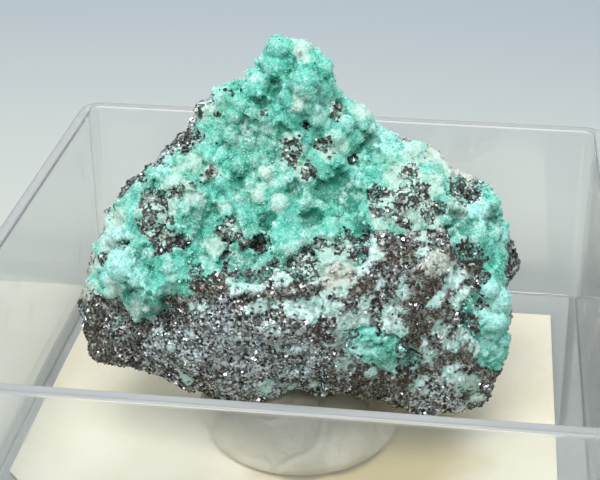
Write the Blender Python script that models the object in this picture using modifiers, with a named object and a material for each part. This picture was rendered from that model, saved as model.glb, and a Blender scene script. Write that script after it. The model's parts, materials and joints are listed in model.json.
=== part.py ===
"""A geminite specimen in its box.

A mint-green crust has grown on a broken block of dark, ore-soaked sandstone. The block is pressed on to a mound
of putty, in a small clear box with a paper label on its floor.

The frame is the box's: origin under the middle of the floor, +X to the right, +Y to the back, +Z up. The stone is
turned a little on its putty, so it is modelled in a frame of its own, the stone's frame, which an empty turns.
"""

import math
import random

import bmesh
import bpy
import numpy as np
from mathutils import Vector, noise
from mathutils.bvhtree import BVHTree

MM = 0.001

# The box, and what lies on its floor.
BOX_SIDE = 56 * MM
BOX_HEIGHT = 21 * MM
BOX_WALL = 1.2 * MM
BOX_CORNER = 2.2 * MM
LABEL_LEFT = -25.6 * MM
LABEL_RIGHT = 23.8 * MM
LABEL_FRONT = -15.5 * MM
LABEL_BACK = 21.5 * MM
LABEL_CUT = 3.2 * MM
LABEL_THICKNESS = 0.2 * MM
GAP = 0.3 * MM
PRINT_ROOM = 0.5 * MM

# The putty: radius and height pairs of its side, up from its foot, above the label.
PUTTY_CENTRE = (0.6 * MM, -0.6 * MM)
PUTTY_SIDE = ((9.4, 0.0), (9.7, 0.9), (9.3, 2.4), (8.6, 4.2), (8.3, 6.4), (7.6, 9.0))
PUTTY_STEPS = 28

# The stone's frame is turned on the putty, and the stone is looked at from one place, the eye. Most of its
# surface points are given as they are seen from there: millimetres across and up on a plane that faces the eye
# through the middle of the stone, then the depth, which is Y in the stone's frame.
STONE_TURN = math.radians(7.5)
EYE = Vector((-0.6, -116.0, 82.1)) * MM
EYE_LOOKS_DOWN = math.radians(28)
SIGHT_DISTANCE = 123.25 * MM

# The stone's middle, from which every point of its surface is visible.
HEART = Vector((0.0, 0.5, 20.0)) * MM

# The outline that the eye sees against the background, clockwise from the lower left corner.
SKYLINE = (
    (-18.0, -10.2, -4.0), (-18.6, -8.1, -3.0), (-19.0, -5.1, -1.5), (-18.0, -1.9, 0.0), (-16.6, 1.3, 1.0),
    (-14.8, 4.7, 1.5), (-12.6, 6.2, 1.5), (-11.0, 8.1, 1.5), (-8.9, 9.6, 1.0), (-8.6, 11.7, 1.0),
    (-7.0, 12.3, 1.0), (-4.4, 14.0, 0.5), (-3.4, 15.4, 0.0), (-2.6, 16.4, 0.0), (-1.2, 16.8, 0.0),
    (1.0, 16.2, 0.0), (2.6, 14.1, 0.0), (3.1, 11.7, 0.5), (5.2, 10.8, 1.0), (7.0, 9.1, 1.5),
    (9.7, 8.0, 2.0), (11.8, 7.0, 2.0), (13.4, 5.2, 2.0), (15.8, 5.5, 2.0), (17.5, 2.1, 0.0),
    (17.7, -0.4, 1.0), (18.8, -1.5, 6.0), (17.5, -3.4, 0.0), (18.1, -6.0, -2.0), (17.8, -9.4, -4.0),
    (15.3, -14.4, -6.0), (11.9, -15.0, -8.0), (8.5, -14.3, -8.5), (2.6, -13.0, -9.0), (-0.9, -13.2, -8.5),
    (-5.5, -14.1, -8.0), (-8.5, -12.8, -7.0), (-12.8, -11.4, -6.0),
)

# The broken front of the stone, in rows from its foot up to where the crust begins.
FRONT_BREAK = (
    (-15.3, -9.4, -6.5), (-10.2, -11.1, -8.5), (-5.1, -12.3, -9.5), (0.0, -11.9, -10.0),
    (5.1, -12.3, -10.0), (10.2, -13.2, -9.5), (14.5, -12.8, -8.5), (17.0, -11.1, -6.0),
    (-17.4, -6.8, -4.5), (-12.8, -7.9, -7.6), (-7.7, -8.1, -10.5), (-2.6, -8.1, -11.5),
    (2.6, -8.1, -11.5), (7.7, -8.5, -11.0), (12.8, -8.5, -9.5), (17.0, -7.7, -6.0),
    (-14.0, -6.2, -6.2), (-10.2, -4.3, -8.6), (-5.1, -5.1, -11.0), (0.0, -4.3, -11.0),
    (5.1, -4.3, -11.0), (10.2, -4.3, -10.5), (15.3, -4.3, -8.0), (17.4, -5.1, -4.5),
)

# The upper front, which leans back to the summit, with the ledge at the right and the groove beside it.
UPPER_FRONT = (
    (-17.9, -3.8, -3.5), (-14.5, -3.0, -8.2),
    (-16.6, -0.9, -3.5), (-12.8, -0.9, -7.0), (-8.5, -1.3, -7.0), (-4.3, -1.3, -8.5), (0.0, -1.3, -9.5),
    (4.3, -0.9, -9.8), (8.5, -0.9, -9.5), (12.8, -0.9, -8.0), (16.6, -0.9, -4.5),
    (-15.3, 2.1, -3.0), (-11.5, 2.1, -5.5), (-7.2, 2.1, -5.0), (-3.4, 2.1, -6.0), (0.0, 2.1, -6.0),
    (3.4, 2.1, -5.0), (7.2, 2.6, -7.5), (11.9, 2.6, -6.0), (16.2, 2.6, -3.0),
    (-13.6, 4.7, -2.0), (-9.4, 5.1, -3.5), (-5.1, 5.1, -4.0), (-0.9, 5.1, -3.5), (3.4, 4.7, -3.0),
    (6.8, 5.1, -5.0), (11.1, 5.1, -3.5), (14.9, 4.3, -1.5),
    (-10.2, 7.7, -1.0), (-6.4, 8.1, -2.5), (-1.7, 7.7, -2.5), (2.6, 7.7, -2.2), (6.8, 7.7, -1.8),
    (10.2, 7.2, -0.5),
    (-7.2, 11.1, -0.5), (-3.8, 11.1, -2.0), (0.0, 11.1, -2.6), (3.0, 10.2, -1.5), (5.5, 9.8, -0.5),
    (-3.4, 14.0, -1.5), (-0.9, 14.0, -2.5), (1.7, 14.0, -1.8),
)

# The back and the underside, which the eye doesn't see: X, Y and Z in the stone's frame, in millimetres.
BACK = (
    (-18.0, 3.0, 10.5), (-13.0, 8.5, 10.5), (-5.0, 11.5, 10.0), (4.0, 12.0, 10.5), (12.0, 10.5, 10.0),
    (17.5, 5.0, 10.0),
    (-19.0, 4.5, 16.5), (-13.5, 9.5, 17.5), (-5.0, 12.5, 17.0), (4.0, 13.0, 17.5), (12.5, 11.0, 17.0),
    (-15.5, 6.0, 22.5), (-9.0, 9.0, 23.5), (-1.0, 11.0, 24.0), (7.0, 10.5, 23.5), (14.0, 7.0, 23.0),
    (-11.0, 5.0, 28.0), (-4.5, 7.0, 29.0), (2.5, 7.5, 29.5), (8.5, 6.0, 28.0),
    (-5.5, 3.2, 34.0), (-1.0, 4.2, 34.5), (2.8, 3.0, 33.5), (-1.0, 2.0, 38.4),
)
UNDERSIDE = (
    (-15.0, 0.0, 8.6), (-9.0, -1.5, 7.8), (-2.0, -4.0, 8.6), (5.0, -4.0, 8.2), (12.0, -2.0, 6.4),
    (-12.0, 5.0, 8.8), (-5.0, 4.0, 8.0), (2.0, 3.0, 7.8), (9.0, 4.0, 7.2), (15.0, 3.0, 7.5),
    (0.0, 9.0, 8.6),
)

# Pockets in the surface: across, up, radius.
POCKETS = (
    (5.1, 1.5, 1.5), (-6.4, 0.6, 1.3), (-3.9, -0.6, 1.2), (-6.8, -0.9, 1.4), (13.9, 1.0, 1.5),
    (-12.2, -6.4, 1.6), (-0.3, 12.4, 0.9), (0.6, 3.2, 0.9), (1.7, 8.2, 0.8), (16.0, 1.2, 1.0),
    (6.4, 7.2, 0.9), (-8.4, 3.3, 0.9),
)
POCKET_DEPTH = 0.9

# Each crust covers the lobes listed for it: across, up, radius.
CRUST_LOBES = {
    "geminite_crust": (
        (-0.9, 14.9, 5.0), (-3.8, 13.2, 4.0), (1.7, 14.0, 4.0), (-6.0, 11.5, 3.3), (-0.9, 11.1, 5.0),
        (3.4, 9.8, 4.0), (6.4, 9.4, 3.5), (-7.2, 8.1, 4.0), (-3.4, 7.7, 5.0), (0.9, 7.7, 5.0),
        (5.1, 6.4, 4.5), (8.5, 6.8, 4.0), (10.4, 6.8, 2.8), (-9.4, 6.0, 3.5), (-5.5, 4.3, 5.0),
        (-1.3, 3.4, 5.0), (2.6, 3.4, 5.0), (6.8, 3.8, 3.5), (10.0, 3.6, 3.0), (3.8, 0.9, 3.2),
        (0.9, 0.4, 3.2), (-2.6, 0.9, 3.5), (0.0, -1.2, 2.2), (-11.9, 3.4, 4.0), (-14.0, 4.3, 3.0),
        (-14.5, 1.3, 4.0), (-10.6, 0.9, 4.0), (-7.2, 0.9, 3.5), (-16.2, -0.9, 3.3), (-14.5, -2.6, 4.2),
        (-11.5, -2.2, 3.0), (-17.2, -3.2, 2.2), (-13.4, -5.0, 2.0), (-8.1, -1.6, 2.0), (-4.3, -1.3, 2.4),
        (12.4, 3.8, 2.6), (14.6, 4.0, 2.4), (16.2, 3.0, 3.0), (14.5, 1.0, 3.0), (16.8, 1.3, 3.2),
        (17.2, -1.2, 2.6), (16.6, -3.6, 2.6), (15.9, -5.6, 3.0), (17.0, -7.4, 2.8), (16.8, -9.2, 2.2),
    ),
    "lower_crust": ((5.8, -8.9, 1.9), (7.2, -9.4, 2.1), (8.7, -10.4, 1.9)),
}
CRUST_THICKNESS = 1.5 * MM
CRUST_EDGE = 0.4 * MM
CRUST_RISE = 0.3 * MM
CRUST_TAPER = 2.5 * MM
CRUST_SINK = 0.35 * MM
CRUST_GAP = 0.62 * MM
EDGE_WOBBLE = 0.9 * MM
EDGE_WOBBLE_SIZE = 2.2 * MM

# Rounded lumps of the crust, where each shows best: across, up, radius.
LUMPS = (
    (-1.4, 15.1, 1.7), (-2.4, 16.3, 1.2), (0.5, 15.9, 1.4), (2.2, 14.2, 1.3), (0.1, 12.3, 1.7),
    (-3.8, 12.7, 1.5), (-5.1, 11.4, 1.2), (-3.0, 10.6, 0.9), (1.6, 11.7, 1.4), (3.2, 9.1, 1.3),
    (5.5, 10.1, 1.3), (6.0, 8.6, 1.1), (-6.4, 12.0, 1.1), (-7.6, 11.2, 1.3), (-6.7, 9.8, 1.1),
    (-5.1, 9.0, 1.3), (-8.1, 7.7, 1.2), (-3.2, 5.8, 1.0), (-3.2, 3.4, 1.0), (-1.7, 2.5, 1.2),
    (-4.3, 4.2, 0.9), (-5.5, 3.4, 0.9), (0.1, 3.8, 1.0), (-6.6, 5.1, 1.0), (-8.8, 6.3, 1.3),
    (-14.0, 4.2, 1.1), (-12.8, 2.1, 1.7), (-10.6, 1.2, 1.1), (-9.8, 0.3, 1.2), (-14.5, -2.2, 2.1),
    (-12.5, -3.0, 1.6), (-13.6, -0.9, 1.4), (-13.0, -5.2, 1.2), (0.2, 0.4, 1.3), (2.2, 0.4, 1.3),
    (3.8, 3.0, 1.1), (11.1, 4.7, 1.5), (8.0, 3.8, 1.8), (14.5, 4.2, 1.1), (16.2, 3.0, 1.3),
    (14.9, 0.8, 1.5), (17.0, 0.9, 1.2), (16.2, -4.2, 1.5), (16.6, -6.8, 1.8), (7.2, -9.4, 1.1),
    (5.9, -8.9, 0.9),
)
LUMP_SUNK = 0.35
LUMP_HOLD = 1.25
SMALL_LUMPS = {"geminite_crust": 190, "lower_crust": 8}
SMALL_LUMP_RADIUS = (0.6 * MM, 1.3 * MM)
SEED = 7

# The stone's roughness where it is bare: how high, and how far apart. Its back is broken in deeper ridges.
ROUGHNESS = ((0.55 * MM, 4.5 * MM), (0.34 * MM, 1.7 * MM))
BACK_RIDGES = (1.5 * MM, 6.0 * MM)

# How finely the stone is worked, and how many triangles each piece keeps.
FACE_SIZE = 0.5 * MM
EASING = 6
WAY_EASING = 4
RIM_EASING = 4
STONE_FACES = 4000
PRINT_FACES = 2500
CRUST_FACES = {"geminite_crust": 4300, "lower_crust": 200}


def clear_scene():
    for obj in list(bpy.data.objects):
        bpy.data.objects.remove(obj)


def new_collection(name):
    collection = bpy.data.collections.new(name)
    bpy.context.scene.collection.children.link(collection)
    return collection


def new_material(name, colour, roughness, transmission=0.0, ior=1.5):
    material = bpy.data.materials.new(name)
    material.use_nodes = True
    shader = material.node_tree.nodes["Principled BSDF"]
    shader.inputs["Base Color"].default_value = (*colour, 1.0)
    shader.inputs["Roughness"].default_value = roughness
    shader.inputs["Metallic"].default_value = 0.0
    shader.inputs["Transmission Weight"].default_value = transmission
    shader.inputs["IOR"].default_value = ior
    return material


def new_object(name, mesh, collection, material=None, parent=None):
    obj = bpy.data.objects.new(name, mesh)
    collection.objects.link(obj)
    obj.parent = parent
    if material:
        mesh.materials.append(material)
    return obj


def mesh_of(name, bm):
    mesh = bpy.data.meshes.new(name)
    bm.to_mesh(mesh)
    bm.free()
    return mesh


def in_mm(rows):
    return [Vector(row) * MM for row in rows]


def sight_line(across, up):
    """The direction from the eye through a place on the sight plane."""
    forward = Vector((0, math.cos(EYE_LOOKS_DOWN), -math.sin(EYE_LOOKS_DOWN)))
    upward = Vector((0, math.sin(EYE_LOOKS_DOWN), math.cos(EYE_LOOKS_DOWN)))
    return Vector((across, 0, 0)) + upward * up + forward * SIGHT_DISTANCE


def seen_points(rows):
    """Points of the stone's frame from places on the sight plane and their depths, all in millimetres."""
    points = []
    for across, up, depth in in_mm(rows):
        line = sight_line(across, up)
        points.append(EYE + line * ((depth - EYE.y) / line.y))
    return points


def cage_mesh():
    """The stone's rough form: a hull of its points' directions from the heart gives the faces, and then each
    corner is moved out to its point."""
    points = seen_points(SKYLINE + FRONT_BREAK + UPPER_FRONT) + in_mm(BACK + UNDERSIDE)
    bm = bmesh.new()
    corners = {bm.verts.new((point - HEART).normalized()): point for point in points}
    bmesh.ops.convex_hull(bm, input=list(corners))
    bmesh.ops.triangulate(bm, faces=bm.faces)
    for vert, point in corners.items():
        vert.co = point
    return mesh_of("cage", bm)


def even_form(cutters):
    """The cage with its corners eased, in small faces of one size."""
    cage = new_object("cage", cage_mesh(), cutters)
    even = cage.modifiers.new("Even faces", "REMESH")
    even.mode = "VOXEL"
    even.voxel_size = FACE_SIZE
    ease = cage.modifiers.new("Eased corners", "SMOOTH")
    ease.factor = 0.5
    ease.iterations = EASING
    depsgraph = bpy.context.evaluated_depsgraph_get()
    form = bpy.data.meshes.new_from_object(cage.evaluated_get(depsgraph))
    bpy.data.objects.remove(cage)
    return form


def on_surface(tree, across, up):
    """Where a place on the sight plane shows on the stone, or the stone's nearest edge to it."""
    line = sight_line(across * MM, up * MM)
    place, _, _, _ = tree.ray_cast(EYE, line)
    if place is None:
        place, _, _, _ = tree.find_nearest(EYE + line)
    return np.array(place)


def outward_ways(bm):
    """The way out of the stone at each vertex, as the mean of those around it."""
    ways = np.array([vert.normal for vert in bm.verts])
    for _ in range(WAY_EASING):
        ways = np.array([
            sum((ways[edge.other_vert(vert).index] for edge in vert.link_edges), ways[vert.index])
            for vert in bm.verts
        ])
        ways /= np.linalg.norm(ways, axis=1)[:, None]
    return ways


def noise_at(points, size):
    return np.array([noise.noise(Vector(point) / size) for point in points])


def bare_height(points, ways):
    """How far the bare stone stands out of its form at each point."""
    height = sum(rise * noise_at(points, size) for rise, size in ROUGHNESS)
    rise, size = BACK_RIDGES
    ridges = 0.5 - np.abs(2 * noise_at(points, size))
    return height + rise * ridges * np.clip(ways[:, 1], 0, 1)


def smooth_step(share):
    share = np.clip(share, 0, 1)
    return share * share * (3 - 2 * share)


def pockets_at(tree, points):
    """How deep the pockets go in at each point: bowls, and their deepest where they cross."""
    depth = np.zeros(len(points))
    for across, up, radius in POCKETS:
        away = np.linalg.norm(points - on_surface(tree, across, up), axis=1) / (radius * MM)
        depth = np.maximum(depth, POCKET_DEPTH * radius * MM * (1 - away**2))
    return depth


def cover_at(tree, lobes, points):
    """How far each point lies inside a crust, from its ragged edge; it is negative outside."""
    cover = np.full(len(points), -1.0)
    for across, up, radius in lobes:
        away = np.linalg.norm(points - on_surface(tree, across, up), axis=1)
        cover = np.maximum(cover, radius * MM - away)
    return cover + EDGE_WOBBLE * noise_at(points, EDGE_WOBBLE_SIZE)


def joined_faces(chosen, start):
    """The chosen faces that can be reached from a vertex over shared edges."""
    found = set()
    waiting = [face for face in start.link_faces if face in chosen]
    while waiting:
        face = waiting.pop()
        if face not in found:
            found.add(face)
            waiting += [near for edge in face.edges for near in edge.link_faces if near in chosen]
    return found


def pinched_verts(patch):
    """The vertices where a patch meets itself at a corner alone."""
    verts = {vert for face in patch for vert in face.verts}
    rims = {vert: 0 for vert in verts}
    for edge in {edge for face in patch for edge in face.edges}:
        if sum(face in patch for face in edge.link_faces) == 1:
            for vert in edge.verts:
                rims[vert] += 1
    return [vert for vert, count in rims.items() if count > 2]


def crust_patch(bm, cover, start):
    """The faces that a crust covers, all in one piece and never joined at a corner alone."""
    chosen = {face for face in bm.faces if all(cover[vert.index] > 0 for vert in face.verts)}
    patch = joined_faces(chosen, start)
    while pinched := pinched_verts(patch):
        patch -= {face for vert in pinched for face in vert.link_faces}
        patch = joined_faces(patch, start)
    return patch


def eased_rim(patch, points):
    """The points with those along a patch's rim drawn into a smoother line."""
    rim = [
        edge
        for edge in {edge for face in patch for edge in face.edges}
        if sum(face in patch for face in edge.link_faces) == 1
    ]
    nearest = {vert.index: [] for edge in rim for vert in edge.verts}
    for edge in rim:
        one, other = (vert.index for vert in edge.verts)
        nearest[one].append(other)
        nearest[other].append(one)
    eased = points.copy()
    for _ in range(RIM_EASING):
        means = {index: eased[others].mean(axis=0) for index, others in nearest.items()}
        for index, mean in means.items():
            eased[index] = (eased[index] + mean) / 2
    return eased


def lump_height(points, ways, centre, radius):
    """How far out of each point a ball reaches along the way out; NaN where it is off the ball."""
    offset = centre - points
    along = np.einsum("ij,ij->i", offset, ways)
    away = np.einsum("ij,ij->i", offset, offset)
    inside = away < (LUMP_HOLD * radius)**2
    square = radius**2 - away + along**2
    return np.where(inside & (square > 0), along + np.sqrt(np.abs(square)), np.nan)


def lumpy_height(tree, points, ways, skin, members, small_count):
    """The height of a crust's outer side: its named lumps, and small ones scattered over it."""
    scatter = random.Random(SEED)
    seats = [(on_surface(tree, across, up), radius * MM) for across, up, radius in LUMPS]
    for _ in range(small_count):
        seats.append((points[scatter.choice(members)], scatter.uniform(*SMALL_LUMP_RADIUS)))
    height = skin
    for seat, radius in seats:
        nearest = np.argmin(np.linalg.norm(points - seat, axis=1))
        centre = seat - ways[nearest] * radius * LUMP_SUNK
        height = np.fmax(height, lump_height(points, ways, centre, radius))
    return height


def crust_mesh(name, form, patch, under, over):
    """A closed crust on a patch of the form, between the points of its underside and of its outer side."""
    bm = bmesh.new()
    bm.from_mesh(form)
    number = bm.verts.layers.int.new("number")
    for vert in bm.verts:
        vert[number] = vert.index
    numbers = {face.index for face in patch}
    outside = [face for face in bm.faces if face.index not in numbers]
    bmesh.ops.delete(bm, geom=outside, context="FACES")
    raised = bmesh.ops.extrude_face_region(bm, geom=bm.faces[:], use_keep_orig=True)["geom"]
    for vert in bm.verts:
        vert.co = under[vert[number]]
    for vert in raised:
        if isinstance(vert, bmesh.types.BMVert):
            vert.co = over[vert[number]]
    bmesh.ops.recalc_face_normals(bm, faces=bm.faces[:])
    return mesh_of(name, bm)


def thin_out(obj, faces):
    """Fewer and larger faces, up to a count of triangles."""
    triangles = sum(len(polygon.vertices) - 2 for polygon in obj.data.polygons)
    modifier = obj.modifiers.new("Fewer faces", "DECIMATE")
    modifier.ratio = faces / triangles
    modifier.use_collapse_triangulate = True


def build_stone_and_crusts(collection, cutters, stone_frame):
    """The block of sandstone, sunk in under each crust, and the crusts. It gives back the stone's cutter."""
    form = even_form(cutters)
    bm = bmesh.new()
    bm.from_mesh(form)
    bm.normal_update()
    bm.verts.ensure_lookup_table()
    tree = BVHTree.FromBMesh(bm)
    ways = outward_ways(bm)
    places = np.array([vert.co for vert in bm.verts])
    points = places - ways * pockets_at(tree, places)[:, None]
    stone_height = bare_height(points, ways)
    geminite = new_material("geminite", (0.12, 0.55, 0.40), 0.6)
    for name, lobes in CRUST_LOBES.items():
        cover = cover_at(tree, lobes, places)
        start = np.argmin(np.linalg.norm(places - on_surface(tree, *lobes[0][:2]), axis=1))
        patch = crust_patch(bm, cover, bm.verts[start])
        points = eased_rim(patch, points)
        members = sorted({vert.index for face in patch for vert in face.verts})
        depth = smooth_step(cover / CRUST_TAPER)
        bottom = -CRUST_EDGE - (CRUST_THICKNESS - CRUST_EDGE) * depth
        skin = CRUST_RISE - (CRUST_RISE + CRUST_SINK) * depth
        top = lumpy_height(tree, points, ways, skin, members, SMALL_LUMPS[name])
        under = points + ways * bottom[:, None]
        over = points + ways * top[:, None]
        crust = new_object(name, crust_mesh(name, form, patch, under, over), collection, geminite, stone_frame)
        thin_out(crust, CRUST_FACES[name])
        stone_height[members] = bottom[members] - CRUST_GAP
    for vert, point in zip(bm.verts, points + ways * stone_height[:, None]):
        vert.co = point
    stone_mesh = mesh_of("stone", bm)
    sandstone = new_material("ore_sandstone", (0.05, 0.05, 0.05), 0.5)
    stone = new_object("stone", stone_mesh, collection, sandstone, stone_frame)
    thin_out(stone, STONE_FACES)
    return stone_print(stone_mesh, cutters, stone_frame)


def stone_print(stone_mesh, cutters, stone_frame):
    """The stone a little larger all round, which presses its print into the putty."""
    cutter = new_object("stone_print", stone_mesh.copy(), cutters, parent=stone_frame)
    thin_out(cutter, PRINT_FACES)
    swell = cutter.modifiers.new("Room round the stone", "DISPLACE")
    swell.strength = PRINT_ROOM
    swell.mid_level = 0
    cutter.hide_render = True
    cutter.display_type = "WIRE"
    return cutter


def build_box(collection):
    """A square box: walls and floor of one thickness, with rounded upright corners."""
    bm = bmesh.new()
    bmesh.ops.create_cube(bm, size=1.0)
    bmesh.ops.scale(bm, vec=(BOX_SIDE, BOX_SIDE, BOX_HEIGHT), verts=bm.verts)
    bmesh.ops.translate(bm, vec=(0, 0, BOX_HEIGHT / 2), verts=bm.verts)
    upright = [edge for edge in bm.edges if abs(edge.verts[0].co.z - edge.verts[1].co.z) > BOX_HEIGHT / 2]
    bmesh.ops.bevel(bm, geom=upright, offset=BOX_CORNER, segments=4, profile=0.5, affect="EDGES")
    lid = [face for face in bm.faces if face.normal.z > 0.9]
    bmesh.ops.delete(bm, geom=lid, context="FACES_ONLY")
    plastic = new_material("clear_plastic", (0.95, 0.96, 0.96), 0.05, transmission=1.0, ior=1.59)
    box = new_object("clear_box", mesh_of("clear_box", bm), collection, plastic)
    wall = box.modifiers.new("Wall", "SOLIDIFY")
    wall.thickness = BOX_WALL
    wall.offset = -1
    wall.use_even_offset = True
    return box


def build_label(collection):
    """A paper label with its front corners cut off, lying on the floor of the box."""
    outline = bpy.data.curves.new("label", "CURVE")
    outline.dimensions = "2D"
    outline.fill_mode = "BOTH"
    outline.extrude = LABEL_THICKNESS / 2
    corners = (
        (LABEL_LEFT, LABEL_BACK), (LABEL_RIGHT, LABEL_BACK),
        (LABEL_RIGHT, LABEL_FRONT + LABEL_CUT), (LABEL_RIGHT - LABEL_CUT, LABEL_FRONT),
        (LABEL_LEFT + LABEL_CUT, LABEL_FRONT), (LABEL_LEFT, LABEL_FRONT + LABEL_CUT),
    )
    spline = outline.splines.new("POLY")
    spline.points.add(len(corners) - 1)
    for point, (x, y) in zip(spline.points, corners):
        point.co = (x, y, 0, 1)
    spline.use_cyclic_u = True
    label = new_object("label", outline, collection, new_material("paper", (0.84, 0.79, 0.66), 0.8))
    label.location.z = BOX_WALL + GAP + LABEL_THICKNESS / 2
    return label


def build_putty(collection, stone_print_cutter):
    """A mound of putty on the label, pressed up under the stone, whose print it takes."""
    profile = bpy.data.meshes.new("putty")
    side = [(radius * MM, 0, height * MM) for radius, height in reversed(PUTTY_SIDE)]
    corners = [(0, 0, side[0][2]), *side, (0, 0, 0)]
    profile.from_pydata(corners, [(i, i + 1) for i in range(len(corners) - 1)], [])
    putty = new_object("putty", profile, collection, new_material("putty", (0.74, 0.69, 0.60), 0.7))
    putty.location = (*PUTTY_CENTRE, BOX_WALL + LABEL_THICKNESS + 2 * GAP)
    turn = putty.modifiers.new("Turn", "SCREW")
    turn.steps = PUTTY_STEPS
    turn.render_steps = PUTTY_STEPS
    turn.use_merge_vertices = True
    turn.merge_threshold = 0.0001 * MM
    turn.use_smooth_shade = True
    cut = putty.modifiers.new("Print of the stone", "BOOLEAN")
    cut.operation = "DIFFERENCE"
    cut.object = stone_print_cutter
    return putty


def main():
    clear_scene()
    collection = new_collection("Geminite specimen")
    cutters = new_collection("Cutters")
    stone_frame = bpy.data.objects.new("stone_frame", None)
    collection.objects.link(stone_frame)
    stone_frame.rotation_euler.z = STONE_TURN
    cutter = build_stone_and_crusts(collection, cutters, stone_frame)
    build_box(collection)
    build_label(collection)
    build_putty(collection, cutter)


main()
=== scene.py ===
"""Dresses a geminite specimen: a mint crust on dark ore sandstone, stuck with putty on a clear box's label.

Lengths are in metres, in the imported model's frame: the box's underside is at Z 0, +X is right, +Y is back.
"""

import functools
import itertools
import json
import logging
import math
from collections.abc import Callable, Iterator
from contextlib import contextmanager
from dataclasses import dataclass, field
from enum import Enum
from typing import NamedTuple

import bmesh
import bpy
import numpy as np
from mathutils import Euler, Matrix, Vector
from mathutils.bvhtree import BVHTree

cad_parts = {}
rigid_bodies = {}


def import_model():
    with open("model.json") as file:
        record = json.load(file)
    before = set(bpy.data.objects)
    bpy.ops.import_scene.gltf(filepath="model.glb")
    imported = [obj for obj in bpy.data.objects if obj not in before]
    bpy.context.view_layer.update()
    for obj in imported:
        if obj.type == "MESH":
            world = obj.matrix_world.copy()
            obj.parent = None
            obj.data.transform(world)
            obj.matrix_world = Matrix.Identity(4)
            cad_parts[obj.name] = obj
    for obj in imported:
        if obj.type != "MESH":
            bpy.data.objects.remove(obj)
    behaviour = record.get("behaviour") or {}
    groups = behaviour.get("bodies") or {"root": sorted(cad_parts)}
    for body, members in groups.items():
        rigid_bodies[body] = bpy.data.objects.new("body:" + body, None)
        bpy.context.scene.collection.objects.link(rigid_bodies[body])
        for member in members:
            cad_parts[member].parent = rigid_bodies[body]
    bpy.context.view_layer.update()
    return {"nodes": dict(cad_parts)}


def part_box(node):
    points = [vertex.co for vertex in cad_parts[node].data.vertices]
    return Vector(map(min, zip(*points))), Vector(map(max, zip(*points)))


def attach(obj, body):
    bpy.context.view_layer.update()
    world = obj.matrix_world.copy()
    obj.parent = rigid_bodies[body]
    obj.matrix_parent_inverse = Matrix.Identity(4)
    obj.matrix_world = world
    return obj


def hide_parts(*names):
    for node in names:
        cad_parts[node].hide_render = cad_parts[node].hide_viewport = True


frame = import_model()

MM = 0.001
BODY = "root"
STONE_SKIN = "broken_stone"
log = logging.getLogger("geminite_specimen")

# How steeply a face looks up to be a form's top.
UPRIGHT = 0.9

Array = np.ndarray
Piece = bpy.types.Object
Node = bpy.types.Node
Socket = bpy.types.NodeSocket
Material = bpy.types.Material
Stops = tuple[tuple[float, str], ...]
Pair = tuple[float, float]
Pairs = tuple[Pair, ...]


class Patch(Enum):
    """What a patch of the specimen's surface shows; each is an attribute of the meshes."""

    PALE = "pale"
    ORE = "ore"
    # Hollows, sunk in the crust and painted darker as shade.
    DEEP = "deep"
    FILM = "film"
    BROWN = "brown"
    # Lit patches, painted as light: a pale pool on the crust and a bluish sheen on the stone.
    BRIGHT = "bright"


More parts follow.
